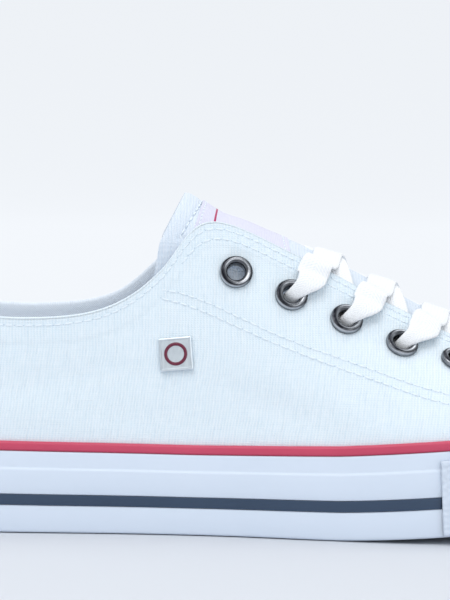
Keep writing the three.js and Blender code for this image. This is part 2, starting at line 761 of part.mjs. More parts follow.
/** Square metal badge with a plain round ring, on the lateral side. */
function badgeShape() {
  const { u, v } = placeOnLast(-1, BADGE_ALONG, BADGE_HEIGHT);
  const plate = new THREE.BoxGeometry(BADGE_SIDE, BADGE_SIDE, BADGE_THICKNESS);
  plate.translate(0, 0, GAP + BADGE_THICKNESS / 2);
  const inside = BADGE_RING / 2 - BADGE_RING_WALL;
  const bottom = GAP + BADGE_THICKNESS / 2;
  const top = GAP + BADGE_THICKNESS + BADGE_RING_RISE;
  const profile = [
    [inside, bottom],
    [BADGE_RING / 2, bottom],
    [BADGE_RING / 2, top],
    [inside, top],
    [inside, bottom],
  ].map(([radius, height]) => new THREE.Vector2(radius, height));
  const turned = new THREE.LatheGeometry(profile, ROUND_STEPS).rotateX(Math.PI / 2);
  const ring = closedGeometry(Array.from(turned.attributes.position.array), Array.from(turned.getIndex().array));
  const joined = toGeometry(toSolid(plate).add(toSolid(ring)));
  return standOn(joined, lastFrame(u, v), BADGE_TURN);
}

/** Rubber of the sidewall, sole and toe. */
function rubber(color) {
  return new THREE.MeshStandardMaterial({ color, roughness: 0.5, metalness: 0 });
}

/** Woven cotton. */
function cloth(color) {
  return new THREE.MeshStandardMaterial({ color, roughness: 0.9, metalness: 0 });
}

/** Plated metal. */
function metal(color) {
  return new THREE.MeshStandardMaterial({ color, roughness: 0.3, metalness: 1 });
}

const shoe = new THREE.Group();

/** Adds one named piece to the shoe. */
function add(name, geometry, material) {
  const mesh = new THREE.Mesh(geometry, material);
  mesh.name = name;
  shoe.add(mesh);
}

add('outsole', outsoleShape(), rubber(0xd9dde2));
add('insole', insoleShape(), cloth(0xe6e9ee));
add('sidewall', sidewallShape(), rubber(0xf0f3f7));
add('sidewall_piping', pipingShape(), rubber(0xb02a45));
add('sidewall_stripe', stripeShape(), rubber(0x1d2d45));
add('toe_bumper', bumperShape(), rubber(0xf2f4f8));
add('upper', upperShape(), cloth(0xf3f6fa));
add('toe_cap', toeCapShape(), rubber(0xf4f6f9));
add('heel_stay', heelStayShape(), cloth(0xf3f6fa));
add('tongue', tongueShape(), cloth(0xeff3f8));
add('tongue_label', labelShape(), cloth(0xe6e2f0));
for (const [side, name] of [[-1, 'lateral'], [1, 'medial']]) {
  for (let row = 1; row <= EYELET_ROWS; row += 1) {
    add(`eyelet_${name}_${row}`, eyeletShape(side, row), metal(0x3c3f47));
  }
}
for (let row = FIRST_LACED_ROW; row < EYELET_ROWS; row += 1) {
  add(`lace_crossing_${row}`, crossingShape(row), cloth(0xf8fafd));
}
add('lace_bar', laceBarShape(), cloth(0xf8fafd));
add('badge', badgeShape(), metal(0xc9cbd2));

const box = new THREE.Box3().setFromObject(shoe);
const middle = box.getCenter(new THREE.Vector3());
shoe.position.set(-middle.x, -middle.y, -box.min.z);

export default shoe;
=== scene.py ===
"""Looks of a low canvas sneaker, right shoe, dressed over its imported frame.

Shapes are worked out in millimetres in the last's own lengths, with the heel at X = 0,
the toe along +X and the medial side along +Y. A mesh is moved to the frame, in metres,
when its points are placed.
"""
import logging
import math
import random
from dataclasses import dataclass, field
from enum import Enum
from typing import Callable

import bmesh
import bpy
import numpy as np
from mathutils import Matrix, Vector, kdtree


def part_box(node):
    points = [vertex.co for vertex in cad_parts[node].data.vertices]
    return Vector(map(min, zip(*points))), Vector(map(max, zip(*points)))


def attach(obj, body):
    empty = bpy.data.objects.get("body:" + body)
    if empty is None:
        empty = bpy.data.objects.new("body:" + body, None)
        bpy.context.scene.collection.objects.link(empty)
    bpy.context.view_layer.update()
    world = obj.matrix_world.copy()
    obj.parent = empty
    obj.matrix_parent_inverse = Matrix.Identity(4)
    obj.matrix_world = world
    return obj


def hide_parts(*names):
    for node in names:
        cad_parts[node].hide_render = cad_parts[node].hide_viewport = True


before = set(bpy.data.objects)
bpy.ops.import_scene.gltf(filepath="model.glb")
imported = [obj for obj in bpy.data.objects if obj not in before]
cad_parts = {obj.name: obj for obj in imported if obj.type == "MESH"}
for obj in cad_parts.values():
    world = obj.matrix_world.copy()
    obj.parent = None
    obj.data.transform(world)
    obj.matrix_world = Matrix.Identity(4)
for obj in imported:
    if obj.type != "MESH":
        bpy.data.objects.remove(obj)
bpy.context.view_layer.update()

logging.basicConfig(level=logging.INFO, format="%(message)s")
log = logging.getLogger("sneaker")

Array = np.ndarray
Place = Callable[[Array, Array], Array]
MM = 0.001
HAIR = 0.002
HALVINGS = 26
UP = np.array([0.0, 0.0, 1.0])
ROOT = "root"
CLOTH_UV = "cloth"
SEAM_SHADE = "seam_shade"
# Attribute that carries each eyelet point's painted reflection, 0 black to 1 bright.
PAINTED_GLINT = "painted_glint"


class Side(Enum):
    """The two long sides of a right shoe."""

    LATERAL = -1
    MEDIAL = 1

    @property
    def other(self) -> "Side":
        """The side across the shoe."""
        return Side(-self.value)


def table(columns: tuple[str, ...], rows: list[tuple[float, ...]]) -> dict[str, Array]:
    """Names the columns of a short table.

    Args:
        columns: Name of each column.
        rows: One tuple of numbers for each row.

    Returns:
        One array for each column name.
    """
    return {name: np.array([row[i] for row in rows], float) for i, name in enumerate(columns)}


def smooth(a: Array, b: Array, c: Array, d: Array, t: Array) -> Array:
    """Uniform Catmull-Rom value between b and c.

    Args:
        a: Value before b.
        b: Value at t = 0.
        c: Value at t = 1.
        d: Value after c.
        t: Share of the way from b to c.

    Returns:
        The smooth value.
    """
    linear = (c - a) * t
    square = (2 * a - 5 * b + 4 * c - d) * t * t
    cube = (3 * b - a - 3 * c + d) * t * t * t
    return (2 * b + linear + square + cube) / 2


def unit(vectors: Array) -> Array:
    """Vectors of length one along the given ones."""
    return vectors / np.maximum(np.linalg.norm(vectors, axis=-1, keepdims=True), 1e-9)


def halve(low: float, high: float, test: Callable[[float], bool]) -> float:
    """Halves a range until its test changes from true to false.

    Args:
        low: End at which the test is true.
        high: End at which the test is false.
        test: Function of one number.

    Returns:
        The number at which the test changes.
    """
    for _ in range(HALVINGS):
        middle = (low + high) / 2
        if test(middle):
            low = middle
        else:
            high = middle
    return (low + high) / 2


def soft_step(edge: Array, width: float) -> Array:
    """Smooth step from 0 to 1 as a value passes zero, over a width."""
    t = np.clip(edge / width + 0.5, 0, 1)
    return t * t * (3 - 2 * t)


def bell(value: Array, width: float) -> Array:
    """Smooth bump of height 1 where a value passes zero, of a half width."""
    return np.exp(-(value / width) ** 2)


def walked(points: Array) -> Array:
    """Length walked along a row of points to each of them."""
    return np.concatenate([[0], np.cumsum(np.linalg.norm(np.diff(points, axis=0), axis=1))])


RIBS = table(
    ("along", "lateral", "medial", "top_along", "top_half", "top_shift", "by_heel", "by_instep",
     "lean", "reach", "rise"),
    [
        (0.000, 0.000, 0.000, 0.022, 0.000, 0.000, 1.000, 0.000, 12, 0.34, 0.36),
        (0.035, 0.235, 0.235, 0.042, 0.150, 0.000, 0.990, 0.000, 10, 0.34, 0.36),
        (0.110, 0.335, 0.330, 0.111, 0.245, 0.000, 0.955, 0.000, 9, 0.34, 0.36),
        (0.210, 0.355, 0.345, 0.215, 0.284, 0.002, 0.919, 0.000, 8, 0.34, 0.36),
        (0.310, 0.360, 0.340, 0.303, 0.283, 0.002, 0.965, 0.000, 9, 0.34, 0.36),
        (0.380, 0.372, 0.335, 0.361, 0.257, 0.003, 0.500, 0.490, 15, 0.34, 0.36),
        (0.450, 0.397, 0.345, 0.414, 0.217, 0.004, 0.000, 1.008, 22, 0.32, 0.36),
        (0.540, 0.450, 0.385, 0.504, 0.212, 0.006, 0.000, 0.905, 26, 0.32, 0.34),
        (0.660, 0.500, 0.465, 0.611, 0.205, 0.008, 0.000, 0.738, 36, 0.33, 0.34),
        (0.800, 0.455, 0.480, 0.692, 0.172, 0.010, 0.000, 0.616, 50, 0.36, 0.55),
        (0.932, 0.335, 0.370, 0.743, 0.098, 0.016, 0.000, 0.552, 64, 0.38, 0.85),
        (1.000, -0.030, 0.030, 0.761, 0.000, 0.020, 0.000, 0.535, 71, 0.38, 0.95),
    ],
)


@dataclass(frozen=True)
class Last:
    """The last that the shoe is made on, with its sole's outline and its topline."""

    length: float = 270
    ball_width: float = 97
    heel_height: float = 66.5
    instep_height: float = 88
    toe_spring: float = 12
    spring_start: float = 148
    spring_power: float = 1.35
    sole_swell: float = 0.06
    swell_start: float = 105
    swell_end: float = 175
    heel_rise: float = 1.2
    heel_rise_end: float = 110
    gap: float = 0.3
    wall: float = 1.8
    flare: float = 1.5
    outsole_thickness: float = 9
    sidewall_thickness: float = 3
    sidewall_height: float = 23
    bumper_thickness: float = 1.4
    seat_share: float = 1 / 7
    collar_dip: float = 2.0
    collar_dip_along: float = 95
    collar_dip_width: float = 7.5
    station_count: int = 66
    searched_round: int = 401
    searched_up: int = 161
    read_up: int = 121
    arc_steps: int = 1201

    @property
    def feather_inset(self) -> float:
        """Distance of the upper's foot inside the outline."""
        return self.sidewall_thickness + self.gap

    def round_value(self, u: Array, lateral: Array, medial: Array) -> Array:
        """Reads one value round the shoe, u = 0 at the heel and 0.5 at the toe.

        Args:
            u: Places round the shoe, lateral side first.
            lateral: The column as read on the lateral side.
            medial: The column as read on the medial side.

        Returns:
            The value at each place.
        """
        ring = np.concatenate([lateral, medial[-2:0:-1]])
        place = np.mod(np.asarray(u, float), 1) * len(ring)
        first = np.floor(place).astype(int)
        at = [ring[np.mod(first + step, len(ring))] for step in (-1, 0, 1, 2)]
        return smooth(*at, place - first)

    def spring(self, x: Array) -> Array:
        """Lift of the sole above the floor at a place along the shoe."""
        share = np.maximum(0, (x - self.spring_start) / (self.length - self.spring_start))
        return self.toe_spring * share ** self.spring_power

    def sole_level(self, x: Array, height: Array) -> Array:
        """Height above the floor of a level of the sole, which thickens towards the ball."""
        t = np.clip((x - self.swell_start) / (self.swell_end - self.swell_start), 0, 1)
        swell = self.sole_swell * t * t * (3 - 2 * t)
        heel = self.heel_rise * np.maximum(0, 1 - x / self.heel_rise_end) ** 1.5
        return height * (1 + swell + heel / self.sidewall_height) + self.spring(x)

    def outline(self, u: Array) -> Array:
        """Points of the sole's outline in plan."""
        along = RIBS["along"] * (self.length - self.bumper_thickness)
        x = self.round_value(u, along, along)
        y = self.round_value(u, -RIBS["lateral"], RIBS["medial"]) * self.ball_width
        return np.stack([x, y], -1)

    def rim(self, u: Array, inset: Array, height: Array) -> Array:
        """Points at a distance inside the outline and a height above the sprung sole."""
        flat = self.outline(u)
        run = unit(self.outline(u + HAIR) - self.outline(u - HAIR))
        x = flat[..., 0] - run[..., 1] * inset
        y = flat[..., 1] + run[..., 0] * inset
        return np.stack([x, y, self.sole_level(x, height)], -1)

    def topline(self, u: Array) -> Array:
        """Points of the topline: the collar, the throat's edges and its end."""
        along = RIBS["top_along"] * self.length
        half, shift = RIBS["top_half"] * self.ball_width, RIBS["top_shift"] * self.ball_width
        height = RIBS["by_heel"] * self.heel_height + RIBS["by_instep"] * self.instep_height
        x, z = self.round_value(u, along, along), self.round_value(u, height, height)
        dip = self.collar_dip * bell(x - self.collar_dip_along, self.collar_dip_width)
        dip = dip * (np.asarray(u) < 0.5)
        return np.stack([x, self.round_value(u, shift - half, shift + half), z - dip], -1)

    def point(self, u: Array, v: Array) -> Array:
        """Points of the upper's outer face, v = 0 at the feather line and 1 at the topline."""
        u, v = np.broadcast_arrays(np.asarray(u, float), np.asarray(v, float))
        foot = self.rim(u, self.feather_inset, self.sidewall_height + self.gap)
        feather = self.rim(u, self.feather_inset, self.outsole_thickness + self.gap)
        top = self.topline(u)
        out = unit((foot - top) * (1, 1, 0))
        lean = np.radians(self.round_value(u, RIBS["lean"], RIBS["lean"]))[..., None]
        reach = self.round_value(u, RIBS["reach"], RIBS["reach"])[..., None]
        reach = reach * np.linalg.norm(foot - top, axis=-1, keepdims=True)
        rise = self.round_value(u, RIBS["rise"], RIBS["rise"]) * (top - foot)[..., 2]
        low = foot + rise[..., None] * UP + out * self.flare
        high = top - reach * np.cos(lean) * UP + out * reach * np.sin(lean)
        t = np.clip((v - self.seat_share) / (1 - self.seat_share), 0, 1)[..., None]
        curve = (1 - t) ** 3 * foot + 3 * t * (1 - t) ** 2 * low + 3 * t * t * (1 - t) * high + t ** 3 * top
        seat = feather + (foot - feather) * np.clip(v / self.seat_share, 0, 1)[..., None]
        return np.where((v < self.seat_share)[..., None], seat, curve)

    def rise_direction(self, u: Array, v: Array) -> Array:
        """Way up the wall at each place."""
        v = np.asarray(v, float)
        return unit(self.point(u, np.minimum(v + HAIR, 1)) - self.point(u, np.maximum(v - HAIR, 0)))

    def normal(self, u: Array, v: Array) -> Array:
        """Outward normals of the upper's outer face."""
        around = unit(self.point(u + HAIR, v) - self.point(u - HAIR, v))
        return unit(np.cross(around, self.rise_direction(u, v)))

    def off(self, u: Array, v: Array, distance: Array) -> Array:
        """Points a distance off the upper's outer face, inwards where it is negative."""
        distance = np.asarray(distance, float)
        return self.point(u, v) + self.normal(u, v) * distance[..., None]

    def place(self, side: Side, x: float, z: float) -> tuple[float, float]:
        """Finds the place on one side that lies at a length and a height.

        Args:
            side: Which side of the shoe.
            x: Length from the heel.
            z: Height above the floor.

        Returns:
            The place's u and v.
        """
        v = np.linspace(0, 1, self.searched_up)
        share = np.linspace(0, 0.5, self.searched_round)
        u = share if side is Side.LATERAL else 1 - share
        grid = self.point(u[:, None], v[None, :])
        miss = (grid[..., 0] - x) ** 2 + (grid[..., 2] - z) ** 2
        i, j = np.unravel_index(np.argmin(miss), miss.shape)
        return float(u[i]), float(v[j])

    def share_below_top(self, u: Array, distance: Array) -> Array:
        """Share up each rib that lies a distance below the topline, along the wall."""
        u = np.atleast_1d(np.asarray(u, float))
        distance = np.broadcast_to(np.asarray(distance, float), u.shape)
        v = np.linspace(1, 0, self.read_up)
        path = self.point(u[:, None], v[None, :])
        steps = np.linalg.norm(np.diff(path, axis=1), axis=-1)
        below = np.concatenate([np.zeros((len(u), 1)), np.cumsum(steps, 1)], 1)
        return np.array([np.interp(d, row, v) for d, row in zip(distance, below)])

    def share_at_height(self, u: Array, height: float) -> Array:
        """Share up each rib at which the upper reaches a height above the sprung sole."""
        u = np.atleast_1d(np.asarray(u, float))
        v = np.linspace(0, 1, self.read_up)
        path = self.point(u[:, None], v[None, :])
        above = path[..., 2] - self.sole_level(path[..., 0], height)
        return np.array([np.interp(0.0, row, v) for row in above])

    def round_at(self, curve: Callable[[Array], Array], side: Side, x: float) -> float:
        """Place round the shoe where a curve reaches a length.

        Args:
            curve: Function that gives points for places round the shoe.
            side: Which side of the shoe.
            x: Length from the heel.

        Returns:
            The place's u.
        """
        def turned(share: float) -> float:
            return share if side is Side.LATERAL else 1 - share
        return turned(halve(0, 0.5, lambda share: float(curve(np.array([turned(share)]))[0, 0]) < x))

    def arc(self, u: Array) -> Array:
        """Length walked along the outline to each place round the shoe."""
        fine = np.linspace(0, 1, self.arc_steps)
        return np.interp(u, fine, walked(self.outline(fine)))


LAST = Last()


def frame_shift() -> Array:
    """Place of the frame's origin in the last's own lengths.

    Returns:
        Millimetres along X, Y and Z.
    """
    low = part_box("sidewall")[0]
    stations = LAST.outline(np.arange(LAST.station_count) / LAST.station_count)
    return np.array([stations[:, 0].min() - low.x / MM, stations[:, 1].min() - low.y / MM, 0.0])


SHIFT = frame_shift()


def to_frame(points: Array) -> Array:
    """Moves points from the last's millimetres to the frame's metres."""
    return (np.asarray(points, float) - SHIFT) * MM


def warped_grid(columns: int, rows: int, place: Place, cloth: Place | None = None) -> bmesh.types.BMesh:
    """A grid bent to a surface.

    Args:
        columns: Steps across, along the first share.
        rows: Steps up, along the second share.
        place: Gives points in millimetres for pairs of shares.
        cloth: Gives flat cloth coordinates in millimetres for the same shares.

    Returns:
        The bent grid, with a cloth map in metres.
    """
    grid = bmesh.new()
    bmesh.ops.create_grid(grid, x_segments=columns, y_segments=rows, size=0.5)
    flat = np.array([(v.co.x, v.co.y) for v in grid.verts])
    shares = (flat - flat.min(0)) / (flat.max(0) - flat.min(0))
    points = to_frame(place(shares[:, 0], shares[:, 1]))
    for vertex, point in zip(grid.verts, points):
        vertex.co = point
    if cloth is not None:
        flat_cloth = cloth(shares[:, 0], shares[:, 1]) * MM
        grid.verts.index_update()
        layer = grid.loops.layers.uv.new(CLOTH_UV)
        for face in grid.faces:
            for loop in face.loops:
                loop[layer].uv = flat_cloth[loop.vert.index]
    return grid


def weld(grid: bmesh.types.BMesh, distance: float = 0.00002) -> None:
    """Joins the points of a seam that lie on each other."""
    bmesh.ops.remove_doubles(grid, verts=grid.verts[:], dist=distance)
    bmesh.ops.dissolve_degenerate(grid, dist=distance / 4, edges=grid.edges[:])


def cap_ends(grid: bmesh.types.BMesh) -> None:
    """Closes each open end with a face."""
    edges = [edge for edge in grid.edges if edge.is_boundary]
    bmesh.ops.holes_fill(grid, edges=edges, sides=0)


def face_out(grid: bmesh.types.BMesh) -> None:
    """Turns the faces of a closed solid outwards."""
    bmesh.ops.recalc_face_normals(grid, faces=grid.faces[:])


def face_up(grid: bmesh.types.BMesh) -> None:
    """Turns the faces of a sheet upwards."""
    grid.normal_update()
    if sum(face.normal.z for face in grid.faces) < 0:
        bmesh.ops.reverse_faces(grid, faces=grid.faces[:])


def spun(profile: list[tuple[float, float]], steps: int) -> bmesh.types.BMesh:
    """A ring turned from a closed section of radius and height pairs."""
    ring = bmesh.new()
    corners = [ring.verts.new((radius, 0, height)) for radius, height in profile]
    edges = [ring.edges.new(pair) for pair in zip(corners, corners[1:] + corners[:1])]
    bmesh.ops.spin(ring, geom=corners + edges, cent=(0, 0, 0), axis=(0, 0, 1), angle=math.tau,
                   steps=steps, use_merge=True)
    bmesh.ops.remove_doubles(ring, verts=ring.verts[:], dist=0.001)
    face_out(ring)
    return ring


def placing(axes: tuple[Array, Array, Array], point: Array) -> Matrix:
    """Matrix that places a small solid in the frame.

    Args:
        axes: Where the solid's own axes point, in the solid's scale.
        point: Where its origin goes, in millimetres.

    Returns:
        The matrix, from the solid's millimetres to the frame.
    """
    matrix = Matrix.Identity(4)
    for column, axis in enumerate(axes):
        for k in range(3):
            matrix[k][column] = float(axis[k]) * MM
    matrix.translation = Vector(to_frame(point))
    return matrix


def stand(point: Array, normal: Array, upward: Array) -> Matrix:
    """Matrix that stands a small solid on a face, with its Y roughly upward along it."""
    y = unit(upward - normal * float(upward @ normal))
    return placing((np.cross(y, normal), y, normal), point)


def to_object(grid: bmesh.types.BMesh, name: str, smooth_faces: bool = True) -> bpy.types.Object:
    """Turns a bmesh into a linked object at the origin.

    Args:
        grid: The mesh, which is freed.
        name: Name of the piece.
        smooth_faces: Whether its faces are shaded smooth.

    Returns:
        The new object.
    """
    mesh = bpy.data.meshes.new(name)
    for face in grid.faces:
        face.smooth = smooth_faces
    grid.to_mesh(mesh)
    grid.free()
    piece = bpy.data.objects.new(name, mesh)
    bpy.context.scene.collection.objects.link(piece)
    return piece


def thicken(piece: bpy.types.Object, thickness: float) -> None:
    """Gives a sheet its thickness, in millimetres, on the inner side of its faces."""
    solid = piece.modifiers.new("thickness", "SOLIDIFY")
    solid.thickness = thickness * MM
    solid.offset = -1


def round_edges(piece: bpy.types.Object, width: float, segments: int = 3, angle: float = 35) -> None:
    """Rounds the sharp edges of a piece, by a width in millimetres."""
    bevel = piece.modifiers.new("rounding", "BEVEL")
    bevel.width = width * MM
    bevel.segments = segments
    bevel.limit_method = "ANGLE"
    bevel.angle_limit = math.radians(angle)


def dress(piece: bpy.types.Object, slot: str, *finishes: bpy.types.Material,
          replaces: str | None = None) -> bpy.types.Object:
    """Puts a piece on the shoe's one body, with its finishes.

    Args:
        piece: The piece.
        slot: The record's slot of its material; not used.
        *finishes: Its materials, in the order of its faces' indices.
        replaces: The frame's node that it stands for, if any.

    Returns:
        The same piece.
    """
    for finish in finishes:
        piece.data.materials.append(finish)
    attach(piece, ROOT)
    if replaces:
        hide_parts(replaces)
    return piece


class Nodes:
    """Short way to wire one material's nodes."""

    def __init__(self, name: str) -> None:
        """Starts a material with a plain surface shader."""
        self.material = bpy.data.materials.new(name)
        self.material.use_nodes = True
        self.tree = self.material.node_tree
        self.shader = self.tree.nodes["Principled BSDF"]

    def add(self, kind: str, **settings: object) -> bpy.types.Node:
        """Adds a node of a kind with its settings."""
        node = self.tree.nodes.new(kind)
        for key, value in settings.items():
            setattr(node, key, value)
        return node

    def put(self, value: object, socket: bpy.types.NodeSocket) -> None:
        """Links a socket to an input, or sets the input to a constant."""
        if isinstance(value, bpy.types.NodeSocket):
            self.tree.links.new(value, socket)
        else:
            socket.default_value = value

    def math(self, operation: str, *values: object) -> bpy.types.NodeSocket:
        """Adds a math node whose inputs are numbers or sockets."""
        node = self.add("ShaderNodeMath", operation=operation)
        for socket, value in zip(node.inputs, values):
            self.put(value, socket)
        return node.outputs[0]

    def coordinates(self, cloth: bool) -> bpy.types.NodeSocket:
        """The cloth map, or the object's own coordinates, both in metres."""
        if cloth:
            return self.add("ShaderNodeUVMap", uv_map=CLOTH_UV).outputs[0]
        return self.add("ShaderNodeTexCoord").outputs["Object"]

    def attribute(self, name: str) -> bpy.types.NodeSocket:
        """A value that the piece's points carry."""
        return self.add("ShaderNodeAttribute", attribute_name=name).outputs["Fac"]

    def split(self, vector: bpy.types.NodeSocket) -> list[bpy.types.NodeSocket]:
        """The three parts of a vector."""
        node = self.add("ShaderNodeSeparateXYZ")
        self.put(vector, node.inputs[0])
        return list(node.outputs)

    def scaled(self, vector: bpy.types.NodeSocket, scale: tuple[float, float, float]) -> bpy.types.NodeSocket:
        """Coordinates stretched along each axis."""
        node = self.add("ShaderNodeMapping")
        node.inputs["Scale"].default_value = scale
        self.put(vector, node.inputs["Vector"])
        return node.outputs[0]

    def noise(self, vector: bpy.types.NodeSocket, scale: float, detail: float = 2,
              rough: float = 0.5) -> bpy.types.NodeSocket:
        """Noise between 0 and 1, at so many lumps for each unit of its coordinates."""
        node = self.add("ShaderNodeTexNoise")
        node.inputs["Scale"].default_value = scale
        node.inputs["Detail"].default_value = detail
        node.inputs["Roughness"].default_value = rough
        self.put(vector, node.inputs["Vector"])
        return node.outputs[0]

    def wave(self, value: bpy.types.NodeSocket, pitch: float,
             shift: bpy.types.NodeSocket | None = None) -> bpy.types.NodeSocket:
        """Sine of a length in metres, with a pitch in millimetres and a shift in radians."""
        turn = self.math("MULTIPLY", value, math.tau / (pitch * MM))
        if shift is not None:
            turn = self.math("ADD", turn, shift)
        return self.math("SINE", turn)

    def blend(self, share: object, low: object, high: object) -> bpy.types.NodeSocket:
        """Colour between two, each a tuple or a socket, by a share."""
        node = self.add("ShaderNodeMix", data_type="RGBA", clamp_factor=True)
        for index, value in ((0, share), (6, low), (7, high)):
            self.put((*value, 1) if isinstance(value, tuple) else value, node.inputs[index])
        return node.outputs[2]

    def bump(self, height: bpy.types.NodeSocket, depth: float) -> None:
        """Raises the surface by a height of 0 to 1 times a depth in millimetres."""
        node = self.add("ShaderNodeBump")
        node.inputs["Distance"].default_value = depth * MM
        self.put(height, node.inputs["Height"])
        self.put(node.outputs[0], self.shader.inputs["Normal"])

    def set(self, **values: object) -> None:
        """Sets or links the shader's own sockets, by their names."""
        for key, value in values.items():
            name = key.replace("_", " ").title().replace("Ior", "IOR")
            self.put(value, self.shader.inputs[name])


@dataclass(frozen=True)
class CanvasFinish:
    """Slubby cotton canvas with fine upright ribs."""

    name: str = "ribbed_canvas"
    light: tuple[float, float, float] = (0.855, 0.92, 0.968)
    shade: tuple[float, float, float] = (0.69, 0.81, 0.893)
    rib_pitch: float = 0.88
    weft_pitch: float = 0.62
    depth: float = 0.16
    seams: bool = True
    seam_shade_strength: float = 0.16

    def build(self) -> bpy.types.Material:
        """Wires the ribs, the weft across them, the slubs and the painted shade along the seams and round the
        eyelets.
        """
        n = Nodes(self.name)
        cloth = n.coordinates(cloth=True)
        across, upward, _ = n.split(cloth)
        drift = n.noise(n.scaled(cloth, (90, 160, 1)), 1, 2)
        ribs = n.wave(across, self.rib_pitch, n.math("MULTIPLY", drift, 6.0))
        uneven = n.noise(n.scaled(cloth, (650, 380, 1)), 1, 2)
        ribs = n.math("MULTIPLY", ribs, n.math("MULTIPLY", uneven, 1.7))
        weft = n.wave(upward, self.weft_pitch, n.math("MULTIPLY", ribs, 1.2))
        slub = n.noise(n.scaled(cloth, (1150, 130, 1)), 1, 3, 0.6)
        cross = n.noise(n.scaled(cloth, (160, 1300, 1)), 1, 2, 0.6)
        height = n.math("MULTIPLY_ADD", ribs, 0.25, n.math("MULTIPLY", weft, 0.12))
        height = n.math("MULTIPLY_ADD", cross, 0.45, n.math("ADD", height, slub))
        colour = n.blend(n.math("SUBTRACT", height, 0.20), self.shade, self.light)
        if self.seams:
            # Painted shade: darker along the sewn lines and round the eyelets.
            colour = n.blend(n.math("MULTIPLY", n.attribute(SEAM_SHADE), self.seam_shade_strength), colour, self.shade)
        n.set(base_color=colour, roughness=0.92, sheen_weight=0.25, sheen_roughness=0.6,
              specular_ior_level=0.2)
        n.bump(height, self.depth)
        return n.material


@dataclass(frozen=True)
class LiningFinish:
    """Plain woven lining, greyer than the canvas."""

    name: str = "grey_lining"
    light: tuple[float, float, float] = (0.86, 0.91, 0.96)
    shade: tuple[float, float, float] = (0.76, 0.82, 0.90)
    pitch: float = 0.7
    depth: float = 0.10

    def build(self) -> bpy.types.Material:
        """Wires a square weave."""
        n = Nodes(self.name)
        cloth = n.coordinates(cloth=True)
        across, upward, _ = n.split(cloth)
        weave = n.math("MULTIPLY", n.wave(across, self.pitch), n.wave(upward, self.pitch))
        fuzz = n.math("MULTIPLY", n.noise(n.scaled(cloth, (700, 700, 1)), 1), 0.5)
        height = n.math("ADD", n.math("MULTIPLY_ADD", weave, 0.35, 0.5), fuzz)
        colour = n.blend(n.math("SUBTRACT", height, 0.3), self.shade, self.light)
        n.set(base_color=colour, roughness=0.95, sheen_weight=0.15)
        n.bump(height, self.depth)
        return n.material


@dataclass(frozen=True)
class RubberFinish:
    """Vulcanised rubber with faint mottling and a soft shine."""

    name: str
    light: tuple[float, float, float]
    shade: tuple[float, float, float]
    roughness: float = 0.42
    grain: float = 2600
    depth: float = 0.02
    pebble: float = 0

    def build(self) -> bpy.types.Material:
        """Wires a fine grain and slow waves of the moulded surface."""
        n = Nodes(self.name)
        place = n.coordinates(cloth=False)
        height = n.math("MULTIPLY_ADD", n.noise(place, self.grain, 2), 0.35, n.noise(place, 140, 2))
        if self.pebble:
            cells = n.add("ShaderNodeTexVoronoi", feature="SMOOTH_F1")
            cells.inputs["Scale"].default_value = self.pebble
            n.put(place, cells.inputs["Vector"])
            height = n.math("SUBTRACT", height, n.math("MULTIPLY", cells.outputs["Distance"], 1.6))
        rough = n.math("MULTIPLY_ADD", n.noise(place, 320, 2), 0.16, self.roughness - 0.08)
        n.set(base_color=n.blend(n.noise(place, 55, 3), self.shade, self.light), roughness=rough,
              specular_ior_level=0.42)
        n.bump(height, self.depth)
        return n.material


@dataclass(frozen=True)
class TreadFinish:
    """Outsole rubber with a wavy tread cut in rows."""

    name: str = "tread_rubber"
    light: tuple[float, float, float] = (0.66, 0.72, 0.79)
    shade: tuple[float, float, float] = (0.55, 0.61, 0.69)
    pitch: float = 5.2
    wave: float = 9
    swing: float = 1.5
    depth: float = 0.8

    def build(self) -> bpy.types.Material:
        """Wires rows of zigzag grooves across the sole."""
        n = Nodes(self.name)
        place = n.coordinates(cloth=False)
        along, across, _ = n.split(place)
        zigzag = n.math("PINGPONG", n.math("DIVIDE", across, self.wave * MM), 0.5)
        rows = n.wave(along, self.pitch, n.math("MULTIPLY", zigzag, self.swing * math.tau / self.pitch))
        groove = n.math("SMOOTH_MIN", rows, 0.1, 0.4)
        height = n.math("MULTIPLY_ADD", n.noise(place, 2400, 2), 0.08, groove)
        colour = n.blend(n.math("MULTIPLY_ADD", groove, 0.5, 0.6), self.shade, self.light)
        n.set(base_color=colour, roughness=0.6)
        n.bump(height, self.depth)
        return n.material


@dataclass(frozen=True)
class BraidFinish:
    """Flat braided cotton lace with its chevrons."""

    name: str = "braided_cotton"
    light: tuple[float, float, float] = (0.94, 0.935, 0.935)
    shade: tuple[float, float, float] = (0.82, 0.86, 0.905)
    strand: float = 1.05
    slope: float = 0.9
    row: float = 0.95
    depth: float = 0.09

    def build(self) -> bpy.types.Material:
        """Wires strands that slope to the middle from both edges."""
        n = Nodes(self.name)
        cloth = n.coordinates(cloth=True)
        across, along, _ = n.split(cloth)
        sloping = n.math("MULTIPLY_ADD", n.math("ABSOLUTE", across), self.slope, along)
        rows = n.math("MULTIPLY_ADD", n.wave(across, self.row), 0.20, 0.5)
        height = n.math("MULTIPLY_ADD", n.wave(sloping, self.strand), 0.30, rows)
        height = n.math("MULTIPLY_ADD", n.noise(n.scaled(cloth, (1500, 1500, 1)), 1, 3), 0.3, height)
        n.set(base_color=n.blend(height, self.shade, self.light), roughness=0.85, sheen_weight=0.3)
        n.bump(height, self.depth)
        return n.material


@dataclass(frozen=True)
class ThreadFinish:
    """Cotton sewing thread."""

    name: str = "white_thread"
    light: tuple[float, float, float] = (0.89, 0.94, 0.98)
    shade: tuple[float, float, float] = (0.74, 0.83, 0.91)

    def build(self) -> bpy.types.Material:
        """Wires a fuzzy twist."""
        n = Nodes(self.name)
        twist = n.noise(n.coordinates(cloth=False), 3200, 2)
        n.set(base_color=n.blend(twist, self.shade, self.light), roughness=0.8, sheen_weight=0.2)
        n.bump(twist, 0.06)
        return n.material


